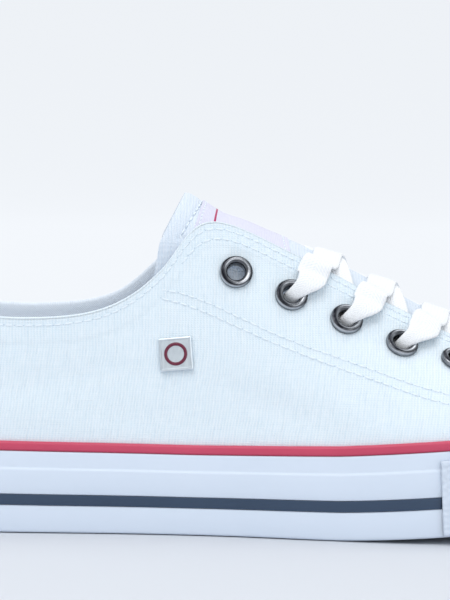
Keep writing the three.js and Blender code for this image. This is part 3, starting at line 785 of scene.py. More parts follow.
@dataclass(frozen=True)
class MetalFinish:
    """Plated metal with fine handling marks, and on the eyelets a painted reflection."""

    name: str
    light: tuple[float, float, float]
    shade: tuple[float, float, float]
    roughness: float = 0.24
    grain: tuple[float, float, float] = (900, 900, 900)
    depth: float = 0.012
    shows_painted_glint: bool = False
    dark_plating_and_reflection: tuple[float, float, float] = (0.014, 0.015, 0.021)

    def build(self) -> bpy.types.Material:
        """Wires the wear in colour and in shine, and where asked the painted reflection that the points
        carry.
        """
        n = Nodes(self.name)
        wear = n.noise(n.scaled(n.coordinates(cloth=False), self.grain), 1, 3)
        colour = n.blend(wear, self.shade, self.light)
        if self.shows_painted_glint:
            # Painted reflection: near black where the points' painted glint is low, the plate's colour where
            # it is high.
            painted_glint = n.math("ADD", n.attribute(PAINTED_GLINT), n.math("MULTIPLY_ADD", wear, 0.2, -0.1))
            colour = n.blend(n.math("SUBTRACT", 1.0, painted_glint), colour, self.dark_plating_and_reflection)
        rough = n.math("MULTIPLY_ADD", wear, 0.2, self.roughness - 0.1)
        n.set(base_color=colour, roughness=rough, metallic=1.0)
        n.bump(wear, self.depth)
        return n.material


@dataclass(frozen=True)
class LabelFinish:
    """Satin-woven label with one plain dark red bar near its end."""

    name: str = "woven_label"
    ground: tuple[float, float, float] = (0.67, 0.66, 0.80)
    light: tuple[float, float, float] = (0.76, 0.76, 0.88)
    bar: tuple[float, float, float] = (0.46, 0.015, 0.11)
    bar_at: float = 5.0
    bar_width: float = 0.6
    half_bar: float = 13
    pitch: float = 0.45

    def build(self) -> bpy.types.Material:
        """Wires the fine weave and the bar."""
        n = Nodes(self.name)
        cloth = n.coordinates(cloth=True)
        across, along, _ = n.split(cloth)
        fuzz = n.noise(n.scaled(cloth, (500, 2200, 1)), 1, 2)
        height = n.math("MULTIPLY_ADD", n.wave(along, self.pitch), 0.25, fuzz)
        near_end = n.math("COMPARE", along, self.bar_at * MM, self.bar_width / 2 * MM)
        inside = n.math("COMPARE", across, 0.0, self.half_bar * MM)
        ground = n.blend(height, self.ground, self.light)
        n.set(base_color=n.blend(n.math("MULTIPLY", near_end, inside), ground, self.bar), roughness=0.7,
              sheen_weight=0.2)
        n.bump(height, 0.06)
        return n.material


# The upper's canvas, darkened for the tongue alone: painted shade.
SHADED_TONGUE_CANVAS = CanvasFinish("tongue_canvas", (0.785, 0.835, 0.91), (0.64, 0.735, 0.84), seams=False)
STAY_CANVAS = CanvasFinish("stay_canvas", seams=False)
# Dark dots of painted shade in the needle's holes.
NEEDLE_HOLE_SHADE = ThreadFinish("needle_hole_shade", (0.64, 0.74, 0.83), (0.50, 0.60, 0.71))
WHITE_RUBBER = RubberFinish("white_rubber", (0.725, 0.80, 0.91), (0.685, 0.765, 0.875))
BUMPER_RUBBER = RubberFinish("bumper_rubber", (0.73, 0.80, 0.90), (0.675, 0.75, 0.86), roughness=0.5,
                             depth=0.10, pebble=1100)
CAP_RUBBER = RubberFinish("cap_rubber", (0.75, 0.82, 0.91), (0.71, 0.78, 0.88), roughness=0.34)
RED_RUBBER = RubberFinish("red_rubber", (0.64, 0.075, 0.145), (0.56, 0.055, 0.115), roughness=0.4)
NAVY_RUBBER = RubberFinish("navy_rubber", (0.040, 0.070, 0.125), (0.028, 0.052, 0.095), roughness=0.38)
# Eyelet plating; its black and bright parts are painted reflection.
DARK_PLATE = MetalFinish("dark_plate", (0.62, 0.64, 0.67), (0.50, 0.52, 0.56), roughness=0.2, shows_painted_glint=True)
BRIGHT_PLATE = MetalFinish("bright_plate", (0.80, 0.86, 0.90), (0.67, 0.73, 0.78), roughness=0.34,
                           grain=(1500, 1500, 260))
RED_ENAMEL = RubberFinish("red_enamel", (0.17, 0.02, 0.05), (0.13, 0.015, 0.04), roughness=0.25, depth=0.01)


@dataclass
class SoleUnit:
    """Outsole, footbed, sidewall, piping, stripe and toe bumper."""

    insole_clearance: float = 0.8
    insole_thickness: float = 4
    foam_hidden: float = 1.2
    dish_depth: float = 1.1
    dish_end: float = 75
    dish_fade: float = 60
    edge_fall: float = 0.8
    lift: float = 0.25
    edge: float = 0.5
    crown: float = 0.12
    step_height: float = 18
    step_depth: float = 0.5
    seat: float = 0.03
    stripe_bottom: float = 8.0
    stripe_width: float = 3.0
    stripe_thickness: float = 0.9
    stripe_proud: float = 0.2
    piping_height: float = 2.4
    piping_thickness: float = 2.2
    bumper_start: float = 177.4
    bumper_tilt: tuple[float, float] = (0.55, -0.50)
    bumper_height: float = 20.7
    bumper_rows: int = 46
    bumper_columns: int = 460
    rib_pitch: float = 1.6
    rib_rise: float = 0.30
    ribbed_height: float = 9
    diamond: float = 2.6
    diamond_rise: float = 0.28
    diamond_slope: float = 1.25
    diamond_sharpness: float = 1.9
    frame_width: float = 0.9
    frame_rise: float = 0.3
    columns: int = 396

    def band(self, name: str, profile: list[tuple[float, float]], ends: tuple[float, float] | None,
             rounding: float) -> bpy.types.Object:
        """A band that follows the outline.

        Args:
            name: Name of the piece.
            profile: Its section, as pairs of inset and height, going up outside and down inside.
            ends: Places round the shoe of its ends, or None where it runs all round.
            rounding: Width by which its edges are rounded.

        Returns:
            The new piece.
        """
        section = np.array([*profile, profile[0]])
        start, stop = ends or (0.0, 1.0)
        count = max(12, round(self.columns * (stop - start)))

        def place(s: Array, t: Array) -> Array:
            row = np.rint(t * (len(section) - 1)).astype(int)
            return LAST.rim(start + (stop - start) * s, section[row, 0], section[row, 1])

        grid = warped_grid(count, len(section) - 1, place)
        weld(grid)
        if ends:
            cap_ends(grid)
        face_out(grid)
        piece = to_object(grid, name)
        round_edges(piece, rounding)
        return piece

    def bumper_ends(self, lean: float = 0.0) -> tuple[float, ...]:
        """Places round the shoe of the bumper's two ends, the lateral one first."""
        return tuple(LAST.round_at(LAST.outline, side, self.bumper_start + lean) for side in Side)

    def sidewall(self) -> bpy.types.Object:
        """White rubber wall with the stripe's groove and the step above it."""
        deep = self.stripe_thickness - self.stripe_proud + LAST.gap
        low, high = self.stripe_bottom - self.seat, self.stripe_bottom + self.stripe_width + self.seat
        back = LAST.sidewall_thickness
        return self.band("sidewall_rubber_wall", [
            (self.edge, self.lift), (0, self.lift + self.edge), (-self.crown, low / 2), (0, low), (deep, low),
            (deep, high), (0, high), (-self.crown, (high + self.step_height) / 2), (0, self.step_height),
            (self.step_depth, self.step_height + self.step_depth),
            (self.step_depth, LAST.sidewall_height), (back, LAST.sidewall_height), (back, self.lift),
        ], None, 0.3)

    def piping(self) -> bpy.types.Object:
        """Thin red line between the wall and the canvas."""
        low = LAST.sidewall_height + 0.05
        face = LAST.sidewall_thickness - self.piping_thickness
        back = LAST.sidewall_thickness - 0.1
        turn = self.piping_height / 5
        top = low + self.piping_height + LAST.gap
        return self.band("red_piping", [
            (face + turn, low), (face, low + turn), (face - 0.1, (low + top) / 2), (face, top - turn),
            (face + turn, top), (back, top), (back, low),
        ], None, 0.2)

    def stripe(self) -> bpy.types.Object:
        """Navy line let into the wall, round the heel from bumper to bumper."""
        lateral, medial = self.bumper_ends()
        face, back = -self.stripe_proud, self.stripe_thickness - self.stripe_proud
        top = self.stripe_bottom + self.stripe_width
        return self.band("navy_stripe", [
            (face, self.stripe_bottom), (face, top), (back, top), (back, self.stripe_bottom),
        ], (medial - 1, lateral), 0.15)

    def bumper(self) -> bpy.types.Object:
        """Second wall round the toe, with ribs low down and small diamonds above."""
        lateral, medial = zip(*(self.bumper_ends(lean) for lean in self.bumper_tilt))
        low, high = self.lift + self.edge, self.bumper_height
        outer = self.bumper_rows - 2

        def relief(walk: Array, up: Array) -> Array:
            """Rise of the ribs, the diamonds and the plain frame above them."""
            ribs = self.rib_rise * np.abs(np.sin(math.pi * up / self.rib_pitch))
            lean = (up + low) * self.diamond_slope
            cuts = [np.abs(np.sin(math.pi / self.diamond * (walk + way * lean))) for way in (1, -1)]
            diamonds = self.diamond_rise * np.clip(np.minimum(*cuts) * self.diamond_sharpness, 0, 1)
            above = soft_step(up - self.ribbed_height, 0.6)
            framed = soft_step(self.frame_width - (high - low - up), 0.5)
            rise = ribs * (1 - above) + diamonds * above * (1 - framed) + self.frame_rise * framed
            return rise * soft_step(up - 0.3, 0.6)

        def place(s: Array, t: Array) -> Array:
            row = np.rint(t * self.bumper_rows)
            height = low + (high - low) * np.clip(row / outer, 0, 1)
            height = np.where(row > outer + 1, low, height)
            start, stop = (np.interp(height, (low, high), ends) for ends in (lateral, medial))
            u = start + (stop - start) * s
            inset = LAST.gap - LAST.bumper_thickness - relief(LAST.arc(u), height - low)
            return LAST.rim(u, np.where(row > outer, -0.02, inset), height)

        grid = warped_grid(self.bumper_columns, self.bumper_rows, place)
        cap_ends(grid)
        face_out(grid)
        return to_object(grid, "toe_bumper_rubber")

    def footbed(self) -> bpy.types.Object:
        """Cloth-topped footbed that is a little dished under the heel."""
        inset = LAST.feather_inset + LAST.wall + self.insole_clearance * 0.4
        bottom = LAST.outsole_thickness + LAST.gap

        def place(s: Array, t: Array) -> Array:
            u = 0.5 * s
            lateral, medial = LAST.rim(u, inset, bottom), LAST.rim(1 - u, inset, bottom)
            point = lateral + (medial - lateral) * t[:, None]
            heel = 1 - soft_step(point[:, 0] - self.dish_end, self.dish_fade)
            dish = self.dish_depth * np.sin(math.pi * t) ** 2 * heel
            height = bottom + self.insole_thickness - self.edge_fall * (2 * t - 1) ** 6 - dish
            point[:, 2] = LAST.sole_level(point[:, 0], height)
            return point

        def cloth(s: Array, t: Array) -> Array:
            return place(s, t)[:, :2]

        grid = warped_grid(150, 44, place, cloth)
        weld(grid)
        piece = to_object(grid, "footbed_top")
        thicken(piece, self.insole_thickness - self.foam_hidden)
        return piece

    def build(self) -> None:
        """Builds and dresses every piece of the sole."""
        lining = LiningFinish("footbed_weave")
        for piece, slot, finish, node in (
            (self.sidewall(), "sidewall_rubber", WHITE_RUBBER, "sidewall"),
            (self.piping(), "piping_rubber", RED_RUBBER, "sidewall_piping"),
            (self.stripe(), "stripe_rubber", NAVY_RUBBER, "sidewall_stripe"),
            (self.bumper(), "bumper_rubber", BUMPER_RUBBER, "toe_bumper"),
            (self.footbed(), "footbed_cloth", lining, "insole"),
        ):
            dress(piece, slot, finish.build(), replaces=node)
        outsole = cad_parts["outsole"]
        outsole.data.materials.clear()
        outsole.data.materials.append(TreadFinish().build())
        log.info("sole unit built")


@dataclass(frozen=True)
class EyeletPlan:
    """Where the eyelets sit, counted from the ankle."""

    rows: int = 6
    first_along: float = 119.3
    spacing: float = 15.8
    inset: float = 15.2

    def place(self, side: Side, row: int) -> tuple[float, float]:
        """Place of one eyelet on the upper, as u and v."""
        def curve(u: Array) -> Array:
            return LAST.point(u, LAST.share_below_top(u, self.inset))
        u = LAST.round_at(curve, side, self.first_along + (row - 1) * self.spacing)
        return u, float(LAST.share_below_top(np.array([u]), self.inset)[0])

    def frame(self, side: Side, row: int) -> tuple[Array, Array, Array]:
        """Middle, outward normal and way up the wall of one eyelet."""
        u, v = self.place(side, row)
        at = np.array([u]), np.array([v])
        return LAST.point(*at)[0], LAST.normal(*at)[0], LAST.rise_direction(*at)[0]


PLAN = EyeletPlan()
EYELETS = {(side, row): PLAN.frame(side, row) for side in Side for row in range(1, PLAN.rows + 1)}


@dataclass
class Seam:
    """A sewn line on a surface, as fine points with their normals."""

    points: Array
    normals: Array
    pitch: float = 2.8


def between(at: float, walk: Array, rows: Array) -> Array:
    """Row of three numbers at a length walked along the rows."""
    return np.array([np.interp(at, walk, rows[:, k]) for k in range(3)])


def sewn_shapes(name: str) -> list[bpy.types.Mesh]:
    """One stitch with blunt ends and one dark dot of painted shade for a needle's hole, each a unit wide."""
    stitch, hole = bmesh.new(), bmesh.new()
    bmesh.ops.create_icosphere(stitch, subdivisions=2, radius=0.5)
    bmesh.ops.create_icosphere(hole, subdivisions=1, radius=0.5)
    for vertex in stitch.verts:
        vertex.co.x = math.copysign(abs(vertex.co.x * 2) ** 0.75 / 2, vertex.co.x)
    for face in hole.faces:
        face.material_index = 1
    meshes = [bpy.data.meshes.new(f"{name}_{kind}") for kind in ("stitch", "hole")]
    for shape, mesh in zip((stitch, hole), meshes):
        shape.to_mesh(mesh)
        shape.free()
    return meshes


def sew(name: str, seams: list[Seam], thread: bpy.types.Material, slot: str = "canvas",
        width: float = 0.56, height: float = 0.34, seed: int = 4) -> bpy.types.Object:
    """Lays small stitches along seams.

    Args:
        name: Name of the piece.
        seams: The sewn lines.
        thread: The thread's finish.
        slot: The record's slot of the cloth that it is sewn on.
        width: Width of one stitch.
        height: Height of one stitch.
        seed: Seed of the small unevenness.

    Returns:
        All the stitches as one piece, with dark dots of painted shade for the needle's holes between them.
    """
    chance = random.Random(seed)
    shapes = sewn_shapes(name)
    # Dots of painted shade for the needle's holes are this wide.
    hole_shade_width = width * 0.72
    joined = bmesh.new()
    for seam in seams:
        walk = walked(seam.points)
        count = max(1, round(walk[-1] / seam.pitch))
        pitch = walk[-1] / count
        for i in range(count):
            middle = (i + 0.5) * pitch + chance.uniform(-0.05, 0.05) * pitch
            back, ahead = (between(middle + d, walk, seam.points) for d in (-pitch * 0.3, pitch * 0.3))
            normal = unit(between(middle, walk, seam.normals))
            along = unit(ahead - back)
            along = unit(along + unit(np.cross(normal, along)) * chance.uniform(-0.07, 0.07))
            across = unit(np.cross(normal, along))
            spot = (back + ahead) / 2
            stitch_width = width * chance.uniform(0.92, 1.08)
            for mesh, (long, wide), place in (
                (shapes[0], (pitch * 0.76, stitch_width), spot + normal * height * 0.1),
                (shapes[1], (hole_shade_width, hole_shade_width), spot - along * pitch * 0.5),
            ):
                axes = along * long, across * wide, np.cross(along, across) * height
                before = len(joined.verts)
                joined.from_mesh(mesh)
                joined.verts.ensure_lookup_table()
                bmesh.ops.transform(joined, matrix=placing(axes, place), verts=joined.verts[before:])
    piece = to_object(joined, name)
    for mesh in shapes:
        bpy.data.meshes.remove(mesh)
    return dress(piece, slot, thread, NEEDLE_HOLE_SHADE.build())


def seam_on_last(u: Array, v: Array, pitch: float, off: float = 0.0) -> Seam:
    """A seam that runs on the upper's outer face."""
    return Seam(LAST.off(u, v, np.full(u.shape, off)), LAST.normal(u, v), pitch)


CREASES = table(
    ("side", "along", "height", "half_length", "half_width", "slope", "depth"),
    [
        (-1, 70, 44, 26, 5.0, 8, -0.55),
        (-1, 58, 35, 24, 4.0, -6, 0.40),
        (-1, 128, 38, 20, 4.5, -24, -0.45),
        (-1, 152, 36, 16, 4.0, -30, 0.40),
        (-1, 186, 36, 14, 3.2, 62, -0.50),
        (-1, 197, 35, 12, 2.8, 66, 0.35),
        (1, 66, 44, 26, 5.0, 6, -0.55),
        (1, 120, 40, 22, 4.5, -22, -0.50),
        (1, 150, 38, 18, 4.0, -28, 0.40),
        (1, 186, 37, 14, 3.2, 62, -0.50),
        (1, 198, 36, 12, 2.8, 66, 0.35),
    ],
)

LONG_SEAM = table(
    ("along", "height"),
    [
        (97.5, 69.6), (100.8, 68.8), (109.3, 66.0), (117.9, 62.3), (127.7, 58.2), (136.5, 55.1),
        (146.0, 52.0), (161.0, 46.9), (170.8, 43.9), (179.8, 41.3), (192.0, 38.4), (204.0, 36.2),
    ],
)


@dataclass
class CanvasUpper:
    """The hollow canvas upper with its seams, heel stay and toe cap."""

    first_row: float = 2.5
    second_row: float = 5.5
    second_row_start: float = 103
    facing: float = 7.4
    facing_rise: float = 0.22
    long_gap: float = 2.6
    stitch_pitch: float = 2.8
    seam_pull: float = 0.11
    seam_pull_width: float = 1.1
    pucker: float = 0.05
    pucker_width: float = 2.4
    shade_width: float = 0.9
    crease_bend: float = 0.004
    crease_fade: float = 30
    hole: float = 3.5
    eyelet_rim: float = 4.6
    eyelet_press: float = 0.28
    eyelet_press_width: float = 1.8
    eyelet_shade: float = 0.8
    eyelet_shade_width: float = 0.8
    columns: int = 660
    seat_rows: int = 2
    wall_rows: int = 26
    edge_rows: int = 14
    rim_rows: int = 6
    lining_rows: int = 26
    edge_zone: float = 9
    foot_level: float = 25.4
    foot_swell: float = 1.1
    foot_swell_height: float = 6
    rib_lean: float = 0.13
    rib_lean_height: float = 52
    lining_shift: float = 7
    overlay_foot: float = 3
    cap_start: float = 216
    cap_radius: float = 75
    cap_end: float = 6
    cap_thickness: float = 0.9
    cap_face: float = 0.675
    cap_swell: float = 0.54
    cap_lip: float = 0.125
    stay_width: float = 22
    stay_thickness: float = 1
    stay_top: float = 0.985
    stay_hem: float = 4.6
    stay_hem_rise: float = 0.22
    stay_row: float = 2.4
    stay_row_press: float = 0.16
    seams: list[Seam] = field(default_factory=list)
    stay_seams: list[Seam] = field(default_factory=list)
    shade: Array | None = None

    @property
    def outer_rows(self) -> int:
        """Rows of the grid on the wall's outer face."""
        return self.seat_rows + self.wall_rows + self.edge_rows

    @property
    def rows(self) -> int:
        """Rows of the whole grid: outer face, turned edge, lining and the foot's underside."""
        return self.outer_rows + self.rim_rows + self.lining_rows + 1

    def topline_seam(self, distance: float, start: float, stop: float) -> Seam:
        """A seam at a distance below the topline, between two places round the shoe."""
        u = np.linspace(start, stop, 500)
        return seam_on_last(u, LAST.share_below_top(u, distance), self.stitch_pitch, self.facing_rise * 0.7)

    def long_seam(self, side: Side, lower: float) -> Seam:
        """The seam from the collar's corner to the toe, a distance lower than its first row."""
        spots = [LAST.place(side, x, z - lower) for x, z in zip(LONG_SEAM["along"], LONG_SEAM["height"])]
        knots = np.arange(len(spots), dtype=float)
        fine = np.linspace(0, len(spots) - 1, 300)
        u = np.interp(fine, knots, [spot[0] for spot in spots])
        v = np.interp(fine, knots, [spot[1] for spot in spots])
        window = np.hanning(41)
        window /= window.sum()
        u = np.convolve(np.pad(u, 20, mode="reflect", reflect_type="odd"), window, "valid")
        v = np.convolve(np.pad(v, 20, mode="reflect", reflect_type="odd"), window, "valid")
        return seam_on_last(u, v, self.stitch_pitch)

    def relief(self, points: Array, below_top: Array) -> tuple[Array, Array]:
        """How far the canvas stands off the plain last.

        Args:
            points: Points of the plain outer face.
            below_top: Distance of each below the topline.

        Returns:
            Millimetres outwards, and the painted shade along the sewn lines and round the eyelets, 0 to 1.
        """
        off = self.facing_rise * (1 - soft_step(below_top - self.facing, 1.2))
        for side, along, height, half_length, half_width, slope, depth in zip(*CREASES.values()):
            dx, dz = points[:, 0] - along, points[:, 2] - height
            turn = math.radians(slope)
            run = dx * math.cos(turn) + dz * math.sin(turn)
            over = -dx * math.sin(turn) + dz * math.cos(turn) + self.crease_bend * run * run
            same_side = soft_step(points[:, 1] * side, self.crease_fade)
            off = off + depth * bell(run, half_length) * bell(over, half_width) * same_side
        knots = np.concatenate([seam.points for seam in self.seams])
        walks = np.concatenate([walked(seam.points) for seam in self.seams])
        tree = kdtree.KDTree(len(knots))
        for i, knot in enumerate(knots):
            tree.insert(knot, i)
        tree.balance()
        nearest, near = (np.array(column) for column in zip(*(tree.find(point)[1:] for point in points)))
        # Painted shade along the sewn lines.
        shade = bell(near, self.shade_width)
        stitches = np.sin(math.tau * walks[nearest] / self.stitch_pitch)
        off = off - self.seam_pull * bell(near, self.seam_pull_width)
        off = off + self.pucker * stitches * bell(near, self.pucker_width)
        for middle, _, _ in EYELETS.values():
            away = np.linalg.norm(points - middle, axis=1) - self.eyelet_rim
            off = off - self.eyelet_press * bell(away, self.eyelet_press_width)
            # Painted shade round each eyelet's rim.
            shade = np.maximum(shade, self.eyelet_shade * bell(away, self.eyelet_shade_width))
        return off, shade

    def share_up(self, s: Array, row: Array) -> Array:
        """Share up the ribs of points of the wall's grid.

        Args:
            s: Places round the shoe, each on a column of the grid.
            row: Row of each point.

        Returns:
            The share, 0 at the feather line and 1 at the topline.
        """
        each = np.arange(self.columns + 1) / self.columns
        column = np.rint(s * self.columns).astype(int)
        zone, edge = (LAST.share_below_top(each, d)[column] for d in (self.edge_zone, LAST.wall / 2))
        wall_row, edge_row = row - self.seat_rows, row - self.seat_rows - self.wall_rows
        seat_part = LAST.seat_share * row / self.seat_rows
        wall_part = LAST.seat_share + (zone - LAST.seat_share) * wall_row / self.wall_rows
        edge_part = zone + (edge - zone) * edge_row / self.edge_rows
        outer = np.where(wall_row <= 0, seat_part, np.where(edge_row <= 0, wall_part, edge_part))
        down = np.clip((row - self.outer_rows - self.rim_rows) / self.lining_rows, 0, 1)
        return np.where(row <= self.outer_rows, outer, edge * (1 - down))

    def wall(self) -> bpy.types.Object:
        """The canvas wall with its turned edge and its lining."""
        radius = LAST.wall / 2

        def place(s: Array, t: Array) -> Array:
            row = np.rint(t * self.rows)
            row = np.where(row >= self.rows, 0, row)
            v = self.share_up(s, row)
            base = LAST.point(s, v)
            off, self.shade = self.relief(base, np.linalg.norm(base - LAST.topline(s), axis=-1))
            above_foot = base[:, 2] - LAST.sole_level(base[:, 0], self.foot_level)
            swell = self.foot_swell * bell(above_foot, self.foot_swell_height)
            off = off * soft_step(above_foot - 2, 4) + swell
            turn = np.clip((row - self.outer_rows) / self.rim_rows, 0, 1) * math.pi
            shell = np.where(turn < math.pi, off + radius * (np.cos(turn) - 1), -LAST.wall)
            over_edge = LAST.rise_direction(s, v) * (radius * np.sin(turn))[:, None]
            return base + LAST.normal(s, v) * shell[:, None] + over_edge

        def cloth(s: Array, t: Array) -> Array:
            row = np.minimum(np.rint(t * self.rows), self.rows - 1)
            base = LAST.point(s, self.share_up(s, row))
            leaning = self.rib_lean * np.maximum(self.rib_lean_height - base[:, 2], 0)
            ahead = (base[:, 0] - LAST.outline(s)[:, 0] + leaning) * np.where(s <= 0.5, 1.0, -1.0)
            inside = np.where(row > self.outer_rows, self.lining_shift, 0.0)
            return np.stack([LAST.arc(s) + ahead, base[:, 2] + inside], -1)

        grid = warped_grid(self.columns, self.rows, place, cloth)
        shade_layer = grid.verts.layers.float.new(SEAM_SHADE)
        for vertex, value in zip(grid.verts, self.shade):
            vertex[shade_layer] = float(value)
        grid.verts.index_update()
        lining_from = self.outer_rows + self.rim_rows // 2
        for face in grid.faces:
            lowest = min(vertex.index for vertex in face.verts) // (self.columns + 1)
            face.material_index = int(lowest >= lining_from)
        self.punch(grid)
        weld(grid)
        return to_object(grid, "canvas_wall")

    def punch(self, grid: bmesh.types.BMesh) -> None:
        """Opens the canvas under each eyelet."""
        centres = np.array([face.calc_center_median() for face in grid.faces])
        doomed = np.zeros(len(centres), bool)
        for middle, normal, _ in EYELETS.values():
            away = centres / MM - to_frame(middle) / MM
            depth = away @ normal
            across = np.linalg.norm(away - depth[:, None] * normal, axis=1)
            doomed |= (across < self.hole) & (np.abs(depth) < LAST.wall * 2)
        faces = [face for face, out in zip(grid.faces, doomed) if out]
        bmesh.ops.delete(grid, geom=faces, context="FACES")

    def toe_cap(self) -> bpy.types.Object:
        """Smooth rubber cap with a low lip along its back edge."""
        middle = np.array([self.cap_start + self.cap_radius, LAST.topline(np.array([0.5]))[0, 1]])
        foot = LAST.sidewall_height + self.overlay_foot
        start = LAST.round_at(LAST.outline, Side.LATERAL, self.cap_start + self.cap_end)
        searched = np.linspace(0, 1, LAST.searched_up)[60:]

        def edge_share(u: Array, low: Array) -> Array:
            """Share up each rib at which the cap's round back edge crosses it."""
            path = LAST.point(u[:, None], searched[None, :])[..., :2]
            away = np.linalg.norm(path - middle, axis=-1) - self.cap_radius
            found = np.array([np.interp(0.0, row, searched) if row[0] < 0 else 0.0 for row in away])
            return np.clip(found, low + 0.02, 0.965)

        def place(s: Array, t: Array) -> Array:
            each, index = np.unique(s, return_inverse=True)
            u = start + (1 - 2 * start) * each
            low = LAST.share_at_height(u, foot)
            high = edge_share(u, low)
            v = low[index] + (high - low)[index] * t
            lip = self.cap_lip * bell((1 - t) * 30, 1.6)
            swell = self.cap_swell * soft_step(1 - t - 0.015, 0.03)
            return LAST.off(u[index], v, self.cap_face + swell + lip)

        grid = warped_grid(240, 72, place)
        weld(grid)
        piece = to_object(grid, "toe_cap_rubber")
        thicken(piece, self.cap_thickness)
        return piece

    def heel_stay(self) -> bpy.types.Object:
        """Canvas strip up the back of the heel, with turned edges and two sewn rows."""
        fine = np.linspace(0, 0.1, 400)
        share = float(np.interp(self.stay_width / 2, np.abs(LAST.point(fine, 0.5 + 0 * fine)[:, 1]), fine))
        low = float(LAST.share_at_height(np.array([0.0]), LAST.sidewall_height + self.overlay_foot)[0])

        def spots(s: Array, t: Array) -> tuple[Array, Array]:
            return share * (2 * s - 1), low + (self.stay_top - low) * t

        def place(s: Array, t: Array) -> Array:
            edge = np.minimum(s, 1 - s) * self.stay_width
            hem = self.stay_hem_rise * (1 - soft_step(edge - self.stay_hem, 0.8))
            hem = hem - self.stay_row_press * bell(edge - self.stay_row, 0.8)
            return LAST.off(*spots(s, t), LAST.gap + self.stay_thickness * 0.8 + hem)

        def cloth(s: Array, t: Array) -> Array:
            return np.stack([(s - 0.5) * self.stay_width, place(s, t)[:, 2]], -1)

        piece = to_object(warped_grid(44, 60, place, cloth), "heel_stay_canvas")
        thicken(piece, self.stay_thickness)
        round_edges(piece, 0.35)
        row = self.stay_row / self.stay_width
        for across in (row, 1 - row):
            s, t = np.full(120, across), np.linspace(0.02, 0.98, 120)
            self.stay_seams.append(Seam(place(s, t), LAST.normal(*spots(s, t)), self.stitch_pitch))
        return piece

    def build(self, thread: bpy.types.Material) -> None:
        """Builds and dresses the upper's pieces."""
        corner = LAST.round_at(LAST.topline, Side.LATERAL, self.second_row_start)
        self.seams = [
            self.topline_seam(self.first_row, 0, 1),
            self.topline_seam(self.second_row, corner, 1 - corner),
        ]
        for side in Side:
            self.seams += [self.long_seam(side, 0), self.long_seam(side, self.long_gap)]
        dress(self.wall(), "canvas", CanvasFinish().build(), LiningFinish().build(), replaces="upper")
        dress(self.toe_cap(), "cap_rubber", CAP_RUBBER.build(), replaces="toe_cap")
        dress(self.heel_stay(), "canvas", STAY_CANVAS.build(), replaces="heel_stay")
        sew("upper_stitching", self.seams, thread)
        sew("stay_stitching", self.stay_seams, thread)
        log.info("canvas upper built")


TONGUE = table(
    ("along", "height", "half", "drop"),
    [
        (0.386, 1.092, 0.206, 0.232),
        (0.437, 1.016, 0.210, 0.160),
        (0.504, 0.918, 0.214, 0.122),
        (0.611, 0.757, 0.218, 0.098),
        (0.694, 0.620, 0.196, 0.077),
        (0.778, 0.460, 0.160, 0.052),
    ],
)


